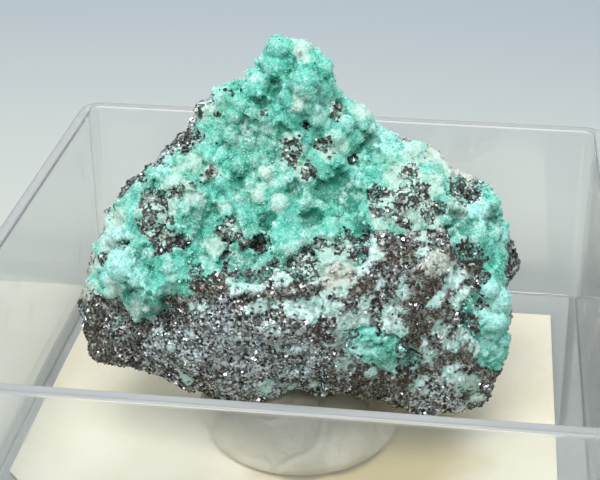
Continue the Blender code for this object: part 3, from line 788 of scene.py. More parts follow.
@dataclass(frozen=True)
class OreSandstone:
    """Sandstone soaked with dark ore, freshly broken: sand grains of 0.3 to 0.5 mm, each with its own face,
    so that the eye sees black, grey and brown grains with bright points where one mirrors the light,
    besides painted white glints and a painted bluish sheen."""

    grain: float = 0.3 * MM
    speck: float = 0.15 * MM
    stops: Stops = (
        (0.0, "#1C1917"), (0.3, "#332C27"), (0.5, "#55524F"), (0.66, "#7E8082"), (0.82, "#A7ABAC"),
        (0.93, "#D5D8D8"),
    )
    brown: str = "#39302A"
    rust: str = "#6A5239"
    painted_sheen: str = "#CBD8DE"
    painted_sheen_clouds: Clouds = Clouds(1.1 * MM, 4.0, 0.38, 0.6)
    painted_glint: str = "#EEF0F0"
    dust: str = "#A7C2B7"
    dusting: Clouds = Clouds(2.4 * MM, 5.0, 0.36, 0.56)
    film: str = "#A6D6CB"
    film_light: str = "#E3F4F0"
    filming: Clouds = Clouds(0.5 * MM, 4.0, 0.35, 0.43)
    chalk: str = "#CBD3C4"
    chalking: Clouds = Clouds(0.45 * MM, 3.0, 0.38, 0.52)
    relief: float = 0.06 * MM
    tilt: float = 0.9

    def make(self) -> Material:
        """Wires the material."""
        finish = Finish("ore_sandstone_broken")
        cells = finish.cells(self.grain)
        lot = finish.lots(cells)
        speck = finish.lots(finish.cells(self.speck))
        ochre = finish.mix(lot[2], self.brown, self.rust)
        painted_sheen_share = finish.times(finish.ramp(lot[1], 0.5, 0.6), finish.clouds(self.painted_sheen_clouds))
        between = finish.ramp(finish.cells(self.grain, "DISTANCE_TO_EDGE").outputs["Distance"], 0.2, 0.03)
        bare = finish.math("SUBTRACT", 1.1, finish.patch(Patch.BROWN))
        base = finish.over(
            finish.steps(lot[0], self.stops),
            (ochre, finish.patch(Patch.BROWN), finish.ramp(lot[1], 0.2, 0.7)),
            # Painted sheen: pale bluish grains on the painted light patches.
            (self.painted_sheen, finish.patch(Patch.BRIGHT), painted_sheen_share),
            (self.dust, between, finish.clouds(self.dusting), 0.5),
            # Painted glints: small white specks on the bare stone.
            (self.painted_glint, finish.ramp(speck[0], 0.86, 0.9), bare),
        )
        filmed = finish.times(finish.patch(Patch.FILM), finish.clouds(self.filming))
        base = finish.mix(filmed, base, finish.mix(lot[1], self.film, self.film_light))
        chalked = finish.times(finish.patch(Patch.PALE), finish.clouds(self.chalking))
        metal = finish.math("SUBTRACT", 0.7, finish.math("MAXIMUM", filmed, chalked))
        way = finish.faceted_way(cells, self.tilt)
        return finish.shade(
            Base_Color=finish.mix(chalked, base, self.chalk),
            Metallic=finish.times(finish.ramp(lot[2], 0.5, 0.9), metal),
            Roughness=finish.math("ADD", finish.times(lot[1], 0.4), 0.28),
            Normal=finish.bump(finish.noise(0.2 * MM, 4.0), self.relief, way),
        )


@dataclass(frozen=True)
class OreGrain:
    """Single grains of the ore, cleaved faces up: near black or brown, a few as bright as metal."""

    stops: Stops = (
        (0.0, "#1D1A18"), (0.24, "#322C28"), (0.42, "#4F4A45"), (0.55, "#787A7A"), (0.68, "#A0A5A6"),
        (0.8, "#CDD1D2"), (0.92, "#FAFAFA"),
    )
    warm: str = "#B98E72"
    cool: str = "#8AA0AE"
    brown: str = "#4B3B2B"
    painted_sheen: str = "#CFDBE0"
    film: str = "#93CDC0"
    filming: Clouds = Clouds(0.4 * MM, 3.0, 0.36, 0.5)
    chalk: str = "#C4CBBB"
    chalking: Clouds = Clouds(0.4 * MM, 3.0, 0.4, 0.55)

    def make(self) -> Material:
        """Wires the material."""
        finish = Finish("ore_grain_cleaved")
        lot = finish.island()
        grey = finish.steps(lot, self.stops)
        hue = finish.add("TexWhiteNoise", {"W": lot}, noise_dimensions="1D").outputs["Value"]
        tinted = finish.mix(0.25, grey, finish.mix(hue, self.warm, self.cool))
        base = finish.over(
            finish.mix(finish.ramp(lot, 0.9, 0.3), tinted, grey),
            (self.brown, finish.patch(Patch.BROWN), 0.5),
            # Painted sheen: pale bluish grains on the painted light patches.
            (self.painted_sheen, finish.patch(Patch.BRIGHT), finish.ramp(hue, 0.5, 0.6), 0.75),
            (self.film, finish.patch(Patch.FILM), finish.clouds(self.filming)),
            (self.chalk, finish.patch(Patch.PALE), finish.clouds(self.chalking)),
        )
        return finish.shade(
            Base_Color=base,
            Metallic=finish.ramp(lot, 0.4, 0.8),
            Roughness=0.25,
            Normal=finish.bump(finish.noise(0.12 * MM, 3.0), 0.02 * MM),
        )


@dataclass(frozen=True)
class GeminiteCrust:
    """Geminite grown as a botryoidal crust of tiny blades: a mint green with a sugary sparkle, partly
    painted, a painted highlight on its tips, and painted shade, a deep green, in its hollows and creases."""

    mint: str = "#4EC2AB"
    mint_light: str = "#78D9C9"
    minting: Clouds = Clouds(1.6 * MM, 3.0, 0.35, 0.65)
    ochre: str = "#A5B48C"
    ochring: Clouds = Clouds(5.5 * MM, 2.0, 0.54, 0.68)
    green: str = "#36A389"
    greening: Clouds = Clouds(3.4 * MM, 3.0, 0.44, 0.62)
    # The deep green of the painted shade in hollows and creases.
    deep: str = "#127F69"
    painted_light_pool: str = "#B0F2EC"
    painted_highlight: str = "#D4F6F0"
    painted_sheen: str = "#E9FBF6"
    dust: str = "#E0F1ED"
    dusting: tuple[Clouds, Clouds] = (Clouds(2.8 * MM, 4.0, 0.46, 0.62), Clouds(0.6 * MM, 3.0, 0.42, 0.6))
    chalk: str = "#CDE6DB"
    chalking: Clouds = Clouds(0.5 * MM, 3.0, 0.3, 0.52)
    black: str = "#352F2B"
    grey: str = "#74777A"
    sugar: float = 0.15 * MM
    grain: float = 0.26 * MM
    relief: float = 0.09 * MM
    tilt: float = 0.55

    def make(self) -> Material:
        """Wires the material."""
        finish = Finish("geminite_crust_sugary")
        sugar = finish.cells(self.sugar)
        lot = finish.lots(sugar)
        height = finish.value("relief")
        base = finish.over(
            finish.mix(finish.clouds(self.minting), self.mint, self.mint_light),
            (self.ochre, finish.clouds(self.ochring), 0.3),
            (self.green, finish.clouds(self.greening), 0.65),
            # Painted light: a pale pool on the crust's lit patches.
            (self.painted_light_pool, finish.patch(Patch.BRIGHT), 0.85),
            # Painted shade: deep green darkens the hollows, the creases and the shaded hollow patches.
            (self.deep, finish.ramp(height, 0.02, -0.2), 0.8),
            (self.deep, finish.ramp(finish.value("crease"), 0.0, -0.045), 0.65),
            (self.deep, finish.patch(Patch.DEEP), 0.75),
            # Painted highlight: the crust's convex tips are lightened where they stand out.
            (self.painted_highlight, finish.ramp(height, 0.0, 0.24), finish.ramp(lot[0], 0.2, 0.9)),
            # Painted sparkle: random sugar cells are whitened as glints.
            (self.painted_sheen, finish.ramp(lot[1], 0.82, 0.97), 0.25),
            (self.dust, *(finish.clouds(clouds) for clouds in self.dusting), 0.55),
            (self.chalk, finish.patch(Patch.PALE), finish.clouds(self.chalking), 0.72),
        )
        grain = finish.lots(finish.cells(self.grain))
        bare = finish.math("SUBTRACT", 1.0, finish.times(finish.patch(Patch.PALE), 0.2))
        ore = finish.times(finish.patch(Patch.ORE), bare, finish.math("ADD", grain[0], 0.25))
        dark = finish.mix(finish.ramp(grain[1], 0.4, 0.9), self.black, self.grey)
        way = finish.faceted_way(sugar, self.tilt)
        return finish.shade(
            Base_Color=finish.mix(finish.ramp(ore, 0.42, 0.5), base, dark),
            Roughness=finish.math("ADD", finish.times(lot[2], 0.3), 0.4),
            Normal=finish.bump(finish.noise(0.24 * MM, 4.0), self.relief, way),
            Subsurface_Weight=0.12,
            Subsurface_Radius=(0.5 * MM, 1.0 * MM, 0.8 * MM),
            Subsurface_Scale=1.0,
        )


@dataclass(frozen=True)
class GeminiteBlade:
    """Single tiny blades of geminite: glassy and pale mint, so that the crust sparkles."""

    mint: str = "#58CDB5"
    mint_light: str = "#B5ECDF"
    # The deep green of the painted shade in hollows.
    deep: str = "#1F9880"
    chalk: str = "#DCE5D9"

    def make(self) -> Material:
        """Wires the material."""
        finish = Finish("geminite_blade_glassy")
        base = finish.over(
            finish.mix(finish.ramp(finish.island(), 0.0, 1.0), self.mint, self.mint_light),
            # Painted shade: the blades in the shaded hollow patches are a deep green.
            (self.deep, finish.patch(Patch.DEEP), 0.8),
            (self.chalk, finish.patch(Patch.PALE), 0.8),
        )
        return finish.shade(Base_Color=base, Roughness=0.35, IOR=1.6)


@dataclass(frozen=True)
class MineralPutty:
    """Off-white mineral putty pressed by hand: matt, waxy, a little dusty, with painted shade at its top."""

    pale: str = "#CBC3AC"
    dull: str = "#B9B19A"
    mottle: Clouds = Clouds(3.0 * MM, 4.0, 0.35, 0.7)
    # The colour of the painted shade at the putty's top, and the heights over which it fades in.
    painted_shade: str = "#5E5C4E"
    painted_shade_span: Pair = (2.0 * MM, 6.6 * MM)
    speck: str = "#6F6A5C"
    specks: float = 0.9 * MM

    def make(self) -> Material:
        """Wires the material."""
        finish = Finish("mineral_putty_pressed")
        base = finish.over(
            finish.mix(finish.clouds(self.mottle), self.pale, self.dull),
            # Painted shade: the putty darkens towards its top, under the stone.
            (self.painted_shade, finish.ramp(finish.along("Z"), *self.painted_shade_span), 0.75),
            (self.speck, finish.ramp(finish.cells(self.specks).outputs["Distance"], 0.16, 0.1), 0.35),
        )
        return finish.shade(
            Base_Color=base,
            Roughness=0.62,
            Normal=finish.bump(finish.noise(1.2 * MM, 6.0), 0.3 * MM),
            Subsurface_Weight=0.1,
            Subsurface_Radius=(1.2 * MM, 1.0 * MM, 0.7 * MM),
            Subsurface_Scale=1.0,
        )


@dataclass(frozen=True)
class LabelPaper:
    """Uncoated cream paper, yellowed by the putty's oil where it has crept out.

    Attributes:
        centre: The stain's middle.
        stain: The radii between which the oil has spread.
        ragged: The size of the stain's bays, and how far they reach.
    """

    centre: Pair = (6.4 * MM, -4.8 * MM)
    stain: Pair = (7.0 * MM, 12.5 * MM)
    ragged: Pair = (5.0 * MM, 6.0 * MM)
    light: str = "#F8F1DD"
    cream: str = "#F0E8CE"
    mottle: Clouds = Clouds(7.0 * MM, 4.0, 0.3, 0.7)
    oil: str = "#BFA85C"
    fibre: str = "#D5CBAF"

    def make(self) -> Material:
        """Wires the material."""
        finish = Finish("label_paper_uncoated")
        moved = finish.vector("SUBTRACT", finish.where, (*self.centre, 0.0))[0]
        flat = finish.vector("MULTIPLY", moved, (1.0, 1.0, 0.0))[0]
        away = finish.add("VectorMath", {0: flat}, operation="LENGTH").outputs["Value"]
        size, reach = self.ragged
        sums = {0: finish.noise(size, 3.0), 1: reach, 2: away}
        edge = finish.add("Math", sums, operation="MULTIPLY_ADD").outputs[0]
        inner, outer = (radius + reach / 2 for radius in self.stain)
        fibres = finish.noise(0.25 * MM, 3.0)
        base = finish.over(
            finish.mix(finish.clouds(self.mottle), self.light, self.cream),
            (self.oil, finish.ramp(edge, outer, inner), 0.8),
            (self.fibre, finish.ramp(fibres, 0.5, 0.75), 0.25),
        )
        return finish.shade(Base_Color=base, Roughness=0.85, Normal=finish.bump(fibres, 0.03 * MM))


@dataclass(frozen=True)
class ClearPolystyrene:
    """Injection-moulded clear polystyrene: colourless and glossy, a little hazy, with its rim rubbed matt.

    Attributes:
        rim: The height of the box's rim.
        rubbed: How far under the rim the matt edge begins and ends.
        wear: Where the walls are rubbed.
    """

    rim: float
    rubbed: Pair = (0.6 * MM, 0.1 * MM)
    wear: Clouds = Clouds(4.0 * MM, 6.0, 0.5, 0.75)

    def make(self) -> Material:
        """Wires the material."""
        finish = Finish("clear_polystyrene_moulded")
        worn = finish.clouds(self.wear)
        rim = finish.ramp(finish.along("Z"), *(self.rim - depth for depth in self.rubbed))
        return finish.shade(
            Base_Color=linear("#F8FAFA"),
            Roughness=finish.math("MAXIMUM", finish.times(worn, 0.14), finish.times(rim, 0.3)),
            Transmission_Weight=finish.math("SUBTRACT", 0.93, finish.times(rim, 0.15)),
            IOR=1.59,
        )


@dataclass(frozen=True)
class Form:
    """A small closed form that is modelled once and copied many times.

    Attributes:
        corners: Its corners, about its middle.
        triangles: Its faces.
    """

    corners: Array
    triangles: Array

    @classmethod
    def taken_from(cls, piece: Piece) -> "Form":
        """Reads a modelled piece's mesh in triangles, and removes the piece."""
        with editing(piece):
            bpy.ops.mesh.quads_convert_to_tris()
        corners = np.array([vert.co for vert in piece.data.vertices])
        form = cls(corners, np.array([face.vertices for face in piece.data.polygons]))
        bpy.data.objects.remove(piece)
        return form

    @classmethod
    def ball(cls) -> "Form":
        """Models a ball of radius 1."""
        return cls.taken_from(add(bpy.ops.mesh.primitive_ico_sphere_add, "ball", subdivisions=2, radius=1.0))

    @classmethod
    def cleaved_grain(cls) -> "Form":
        """Models a grain about 1 in radius: a block cleaved out of square."""
        grain = add(bpy.ops.mesh.primitive_cube_add, "grain", size=1.3)
        with editing(grain):
            choose(grain, "faces", lambda face: face.normal.z > UPRIGHT)
            bpy.ops.transform.resize(value=(0.7, 0.85, 1.0))
            bpy.ops.transform.translate(value=(0.15, -0.1, 0.0))
        return cls.taken_from(grain)

    @classmethod
    def blade(cls) -> "Form":
        """Models a blade's free half, about 1 in radius: a steep four-sided point on a flat foot."""
        blade = add(bpy.ops.mesh.primitive_cone_add, "blade", vertices=4, radius1=1.0, radius2=0.0, depth=2.4)
        with editing(blade):
            bpy.ops.transform.resize(value=(0.6, 1.0, 1.0))
        return cls.taken_from(blade)

    @classmethod
    def plate(cls) -> "Form":
        """Models a three-cornered plate, 1 in radius and 1 thick."""
        cylinder = bpy.ops.mesh.primitive_cylinder_add
        return cls.taken_from(add(cylinder, "plate", vertices=3, radius=1.0, depth=1.0))

    def strewn(self, name: str, seats: Array, sizes: Array, turns: Array) -> Piece:
        """Joins many copies in one mesh.

        Args:
            name: The new piece's name.
            seats: Each copy's middle.
            sizes: Each copy's size along its X, Y and Z.
            turns: Each copy's turn, as a matrix.

        Returns:
            The new piece.
        """
        placed = np.einsum("nij,nkj->nki", turns, self.corners[None] * sizes[:, None]) + seats[:, None]
        faces = self.triangles[None] + (np.arange(len(seats)) * len(self.corners))[:, None, None]
        mesh = bpy.data.meshes.new(name)
        mesh.from_pydata(placed.reshape(-1, 3).tolist(), [], faces.reshape(-1, 3).tolist())
        return new_piece(name, mesh)


def random_turns(draw: np.random.Generator, count: int) -> Array:
    """Draws turns, evenly over all ways.

    Args:
        draw: The draw.
        count: How many.

    Returns:
        One 3 by 3 matrix each.
    """
    quats = draw.normal(size=(count, 4))
    w, x, y, z = (quats / np.linalg.norm(quats, axis=1)[:, None]).T
    rows = (
        (1 - 2 * (y * y + z * z), 2 * (x * y - z * w), 2 * (x * z + y * w)),
        (2 * (x * y + z * w), 1 - 2 * (x * x + z * z), 2 * (y * z - x * w)),
        (2 * (x * z - y * w), 2 * (y * z + x * w), 1 - 2 * (x * x + y * y)),
    )
    return np.array(rows).transpose(2, 0, 1)


@dataclass
class BrokenStone:
    """The bare stone's fine surface, over the whole block.

    Attributes:
        face: The size of its faces.
        easing: How often the CAD solid's facets are eased.
        rough: The heights and sizes of the broken relief.
        grain: The height and pitch of the sand grains.
        level: How far from a grain's middle the eased surface lies, as a share of the pitch.
    """

    face: float = 0.23 * MM
    easing: int = 4
    rough: Pairs = ((0.26 * MM, 2.4 * MM), (0.17 * MM, 0.9 * MM))
    grain: Pair = (0.13 * MM, 0.40 * MM)
    level: float = 0.55

    def build(self) -> tuple[Piece, BVHTree]:
        """Builds the piece.

        Returns:
            The piece, bare of material, and its eased surface before the grains.
        """
        piece = copy_of_node("stone", STONE_SKIN)
        remesh(piece, self.face, self.easing)
        tree = tree_of(piece)
        skin = Skin(piece.data)
        heights = sum(height * noise_at(skin.points, size) for height, size in self.rough)
        height, pitch = self.grain
        heights += height * (self.level - grains_at(skin.points, pitch))
        for depth, width, corners in CRACKS:
            heights -= depth * MM * self.nearness(skin, width * MM, np.array(corners) * MM)
        skin.move(heights)
        return piece, tree

    def nearness(self, skin: Skin, width: float, corners: Array) -> Array:
        """Tells how near points show to a broken line.

        Args:
            skin: The skin with the points.
            width: How far the line's edge reaches.
            corners: The line's corners on the sight plane.

        Returns:
            One share a point, 1 on the line and 0 beyond its edge or on the far side.
        """
        shown = VIEW.seen(skin.points)
        away = np.full(len(shown), 1.0)
        for start, end in itertools.pairwise(corners):
            way = end - start
            along = np.clip((shown - start) @ way / (way @ way), 0, 1)
            away = np.minimum(away, np.linalg.norm(shown - start - along[:, None] * way, axis=1))
        facing = np.einsum("ij,ij->i", skin.ways, VIEW.towards(skin.points)) > 0
        return smooth_step(1 - away / width) * facing


@dataclass
class CrustSkin:
    """The crust's fine surface: the CAD crust with all its lumps as true balls, grown together, and a ragged
    rim that thins out on the stone.

    Attributes:
        node: The CAD node that it is grown on.
        name: The piece's name.
        face: The size of its faces.
        small: How many small balls grow on it.
        radii: The small balls' radii.
        sunk: How far a ball's middle lies under the surface, as a share of its radius.
        seat: How deep its underside lies in the stone.
        ragged: How strongly its rim is broken up.
        lift: How much of the CAD crust's height it keeps.
        flakes: Its flat flakes' corners on the sight plane, in millimetres.
        flake: The flakes' thickness.
        seed: Starts the draw.
        coarse: The size of its faces before the balls are added.
        edge: Below which height it is rim, and over which height it turns into rim.
        uneven: The strengths, sizes and seeds of the rim's bays.
        sunken: How far the rim sinks in the middle of its bays' range, in millimetres.
        under: From which slant against the stone a face counts as the underside.
        closed: How much chalk keeps an open patch closed.
        deep: How far it dips in its deep hollows, in millimetres.
        lumps: The heights in millimetres, sizes and seeds of its fine lumps.
        fuzz: The height in millimetres and the size of its finest relief.
        grown: Over which height small balls grow.
        seated: How deep a large lump's middle lies, and how large its ball is, as shares of its radius.
        hidden: How deep in the stone its faces are thinned out, and to which share.
    """

    node: str
    name: str
    face: float
    small: int
    radii: Pair = (0.2 * MM, 0.5 * MM)
    sunk: float = 0.3
    seat: float = 0.45 * MM
    ragged: float = 1.0
    lift: float = 1.0
    flakes: tuple[Pairs, ...] = ()
    flake: float = 0.5 * MM
    seed: int = 11
    coarse: float = 0.3 * MM
    edge: Pair = (1.5 * MM, 1.1 * MM)
    uneven: tuple[tuple[float, float, int], ...] = ((0.5, 1.7 * MM, 21), (0.4, 0.8 * MM, 22))
    sunken: float = 0.6
    under: float = -0.25
    closed: float = 0.6
    deep: float = 0.8
    lumps: tuple[tuple[float, float, int], ...] = ((0.15, 1.25 * MM, 2), (0.09, 0.5 * MM, 4))
    fuzz: Pair = (0.05, 0.33 * MM)
    grown: float = 0.5 * MM
    seated: Pair = (0.12, 0.92)
    hidden: Pair = (-0.3 * MM, 0.12)

    def build(self, stone: BVHTree, reader: PatchReader) -> Piece:
        """Builds the piece.

        Args:
            stone: The stone that the crust lies on.
            reader: Reads where the crust is open or hollow.

        Returns:
            The piece, bare of material.
        """
        piece = copy_of_node(self.node, self.name)
        remesh(piece, self.coarse, 3)
        skin = Skin(piece.data)
        height = self.settle(skin, stone, reader)
        balls = self.balls(piece, skin, height)
        plates = self.plates(piece, stone) if self.flakes else None
        take_up(piece)
        balls.select_set(True)
        if plates:
            plates.select_set(True)
        bpy.ops.object.join()
        remesh(piece, self.face, 1, 0.4)
        skin = Skin(piece.data)
        lumps = sum(high * (0.5 - grains_at(skin.points, size, seed)) for high, size, seed in self.lumps)
        skin.move(MM * (lumps + self.fuzz[0] * noise_at(skin.points, self.fuzz[1])))
        self.thin_underside(piece, skin, stone)
        return piece

    def settle(self, skin: Skin, stone: BVHTree, reader: PatchReader) -> Array:
        """Presses the underside into the stone, and lets rims and hollows dip.

        Args:
            skin: The eased crust.
            stone: The stone.
            reader: Reads where the crust is open or hollow.

        Returns:
            Each point's height over the stone.
        """
        feet, ups, height = heights_over(stone, skin.points)
        under = np.einsum("ij,ij->i", skin.ways, ups) < self.under
        strengths = reader.read(skin.points, skin.ways)
        rim = smooth_step((self.edge[0] - height) / self.edge[1])
        uneven = sum(strength * noise_at(skin.points, size, seed) for strength, size, seed in self.uneven)
        open_share = strengths[Patch.ORE] * (1 - self.closed * strengths[Patch.PALE])
        sink = rim * (self.sunken + self.ragged * uneven).clip(0) + open_share
        sink += self.deep * strengths[Patch.DEEP]
        height = np.where(under, -self.seat, height * self.lift - sink * MM)
        skin.place(feet + ups * height[:, None])
        return height

    def balls(self, piece: Piece, skin: Skin, height: Array) -> Piece:
        """Makes the balls.

        Args:
            piece: The eased crust.
            skin: Its arrays.
            height: Its points' heights over the stone.

        Returns:
            One piece of all the balls.
        """
        draw = np.random.default_rng(self.seed)
        tree = tree_of(piece)
        seats, radii = [], []
        depth, share = self.seated
        for across, up, radius in LUMPS:
            place, way, _, _ = tree.ray_cast(VIEW.place, VIEW.line(across * MM, up * MM))
            if place is not None:
                seats.append(place - way * radius * MM * depth)
                radii.append(radius * MM * share)
        chosen = draw.choice(np.flatnonzero(height > self.grown), self.small)
        small = self.radii[0] + (self.radii[1] - self.radii[0]) * draw.random(self.small) ** 2
        radii = np.concatenate([radii, small])
        sunk = skin.points[chosen] - skin.ways[chosen] * (small * self.sunk)[:, None]
        seats = np.concatenate([np.array(seats).reshape(-1, 3), sunk])
        still = np.broadcast_to(np.eye(3), (len(radii), 3, 3))
        return Form.ball().strewn("balls", seats, np.repeat(radii[:, None], 3, axis=1), still)

    def plates(self, piece: Piece, stone: BVHTree) -> Piece:
        """Makes the flat flakes.

        Args:
            piece: The eased crust.
            stone: The stone, for corners that hang over it.

        Returns:
            One piece of all the flakes.
        """
        crust, form = tree_of(piece), Form.plate()
        top = form.corners[form.corners[:, 2] > 0][:, :2]
        seats, shapes = [], []
        for corners in self.flakes:
            lines = [VIEW.line(across * MM, up * MM) for across, up in corners]
            hits = [
                crust.ray_cast(VIEW.place, line)[0] or stone.ray_cast(VIEW.place, line)[0]
                for line in lines
            ]
            places = np.array([hit for hit in hits if hit])
            if len(places) < 3:
                continue
            centre = places.mean(axis=0)
            sides = (places - centre).T @ np.linalg.pinv(top.T)
            out = np.cross(sides[:, 0], sides[:, 1])
            shapes.append(np.column_stack((sides, out / np.linalg.norm(out) * self.flake)))
            seats.append(centre + VIEW.towards(centre[None])[0] * self.flake)
        return form.strewn("plates", np.array(seats), np.ones((len(seats), 3)), np.array(shapes))

    def thin_underside(self, piece: Piece, skin: Skin, stone: BVHTree) -> None:
        """Thins out the faces that lie deep in the stone, where nothing shows."""
        _, _, height = heights_over(stone, skin.points)
        depth, share = self.hidden
        take_up(piece)
        bpy.ops.object.mode_set(mode="EDIT")
        bpy.ops.mesh.select_mode(type="VERT")
        bpy.ops.mesh.select_all(action="DESELECT")
        bpy.ops.object.mode_set(mode="OBJECT")
        piece.data.vertices.foreach_set("select", height < depth)
        bpy.ops.object.mode_set(mode="EDIT")
        bpy.ops.mesh.decimate(ratio=share)
        bpy.ops.object.mode_set(mode="OBJECT")


@dataclass
class Scatter:
    """Many small crystals joined in one mesh, seated on the specimen's skins.

    Attributes:
        name: The piece's name.
        form: The crystal.
        count: How many crystals.
        radii: The crystals' radii.
        seed: Starts the draw.
        prevail: How strongly the small ones prevail.
        seat: Over which range of heights their middles are seated, and the lowest, in radii.
        spread: Their least size along an axis, and over which range it varies, in radii.
    """

    name: str
    form: Form
    count: int
    radii: Pair
    seed: int
    prevail: float = 1.5
    seat: Pair = (0.5, -0.3)
    spread: Pair = (0.75, 0.5)

    def build(self, skins: list[Skin], weights: list[Array]) -> Piece:
        """Builds the piece.

        Args:
            skins: The skins that the crystals are seated on.
            weights: How likely each point of each skin is to carry a crystal.

        Returns:
            The piece, bare of material, with the skins' patches on it.
        """
        draw = np.random.default_rng(self.seed)
        points = np.concatenate([skin.points for skin in skins])
        ways = np.concatenate([skin.ways for skin in skins])
        weight = np.concatenate(weights)
        chosen = draw.choice(len(points), self.count, replace=False, p=weight / weight.sum())
        radius = self.radii[0] + (self.radii[1] - self.radii[0]) * draw.random(self.count) ** self.prevail
        heights = radius * (draw.random(self.count) * self.seat[0] + self.seat[1])
        seats = points[chosen] + ways[chosen] * heights[:, None]
        sizes = radius[:, None] * (self.spread[0] + self.spread[1] * draw.random((self.count, 3)))
        piece = self.form.strewn(self.name, seats, sizes, random_turns(draw, self.count))
        skin = Skin(piece.data)
        for kind in Patch:
            values = np.concatenate([one.stored(kind.value) for one in skins])[chosen]
            skin.store(kind.value, np.repeat(values, len(self.form.corners)))
        return piece


@dataclass
class Specimen:
    """The stone, its crusts and the crystals on them.

    Attributes:
        crusts: The main crust, and the small one on the front break.
        reader: Reads the patches.
        reliefs: The attributes that tell how far a point stands out, and over how many rounds each is eased.
        ore: The name, count and seed of the ore grains on each side.
        ore_radii: The grains' radii.
        kept_off: How much film and chalk keep grains off the stone, and chalk off the open crust.
        opened: From which strength of an ore patch the crust is open.
        on_crust: How densely grains show in the open crust, and elsewhere on it.
        blades: How many blades of geminite.
        blade_radii: The blades' radii.
        on_film: How densely blades grow on the film, and from which strength of it.
        on_back: How densely they grow on the crust's far side, and from which depth.
    """

    crusts: tuple[CrustSkin, CrustSkin] = (
        CrustSkin("geminite_crust", "geminite_crust_skin", 0.15 * MM, 1700, flakes=FLAKES),
        CrustSkin("lower_crust", "lower_crust_skin", 0.14 * MM, 90, ragged=2.4, lift=0.65, seed=5),
    )
    reader: PatchReader = PatchReader()
    reliefs: tuple[tuple[str, int], ...] = (("relief", 30), ("crease", 5))
    ore: tuple[tuple[str, int, int], ...] = (("front", 14500, 3), ("back", 8500, 8))
    ore_radii: Pair = (0.09 * MM, 0.22 * MM)
    kept_off: Pair = (0.93, 0.75)
    opened: float = 0.6
    on_crust: Pair = (0.45, 0.0015)
    blades: int = 30000
    blade_radii: Pair = (0.05 * MM, 0.1 * MM)
    on_film: Pair = (0.25, 0.7)
    on_back: Pair = (0.35, 6 * MM)

    def build(self) -> None:
        """Builds and dresses all pieces of the specimen."""
        stone, ground = BrokenStone().build()
        crust, lower = (skin.build(ground, self.reader) for skin in self.crusts)
        skins = {}
        for piece in (stone, crust, lower):
            skin = skins[piece.name] = Skin(piece.data)
            for kind, values in self.reader.read(skin.points, skin.ways).items():
                skin.store(kind.value, values)
            for name, rounds in self.reliefs:
                skin.store(name, skin.relief(rounds) / MM)
            piece.data.shade_smooth()
        log.info("skins dressed")
        self.scatter_ore(skins)
        self.scatter_blades(skins)
        geminite = GeminiteCrust().make()
        finish_piece(stone, OreSandstone().make(), "ore_sandstone", "stone")
        finish_piece(crust, geminite, "geminite", "geminite_crust")
        finish_piece(lower, geminite, "geminite", "lower_crust")

    def scatter_ore(self, skins: dict[str, Skin]) -> None:
        """Seats ore grains on the bare stone, and where the crust is open."""
        weights = {"front": [], "back": []}
        film_off, chalk_off = self.kept_off
        for name, skin in skins.items():
            facing = VIEW.facing(skin.points, skin.ways, 0.6)
            if name == STONE_SKIN:
                cover = np.maximum(skin.stored(Patch.FILM.value), skin.stored(Patch.PALE.value))
                weights["front"].append((1 - film_off * cover) * facing)
                weights["back"].append((1 - film_off * cover) * (1 - facing))
            else:
                is_open = skin.stored(Patch.ORE.value) > self.opened
                open_share = is_open * (1 - chalk_off * skin.stored(Patch.PALE.value))
                weights["front"].append(self.on_crust[0] * open_share + self.on_crust[1])
                weights["back"].append(np.zeros(len(skin.points)))
        form, finish = Form.cleaved_grain(), OreGrain().make()
        for name, count, seed in self.ore:
            grains = Scatter(f"ore_grains_{name}", form, count, self.ore_radii, seed)
            finish_piece(grains.build(list(skins.values()), weights[name]), finish, "ore_sandstone")

    def scatter_blades(self, skins: dict[str, Skin]) -> None:
        """Seats blades of geminite on the crusts, and thinly on the film over the stone."""
        weights = []
        for name, skin in skins.items():
            if name == STONE_SKIN:
                weights.append(self.on_film[0] * (skin.stored(Patch.FILM.value) > self.on_film[1]))
            else:
                density, depth = self.on_back
                weights.append((1 - skin.stored(Patch.ORE.value)) * (density + (skin.points[:, 1] < depth)))
        blades = Scatter("geminite_blades", Form.blade(), self.blades, self.blade_radii, 4)
        finish_piece(blades.build(list(skins.values()), weights), GeminiteBlade().make(), "geminite")


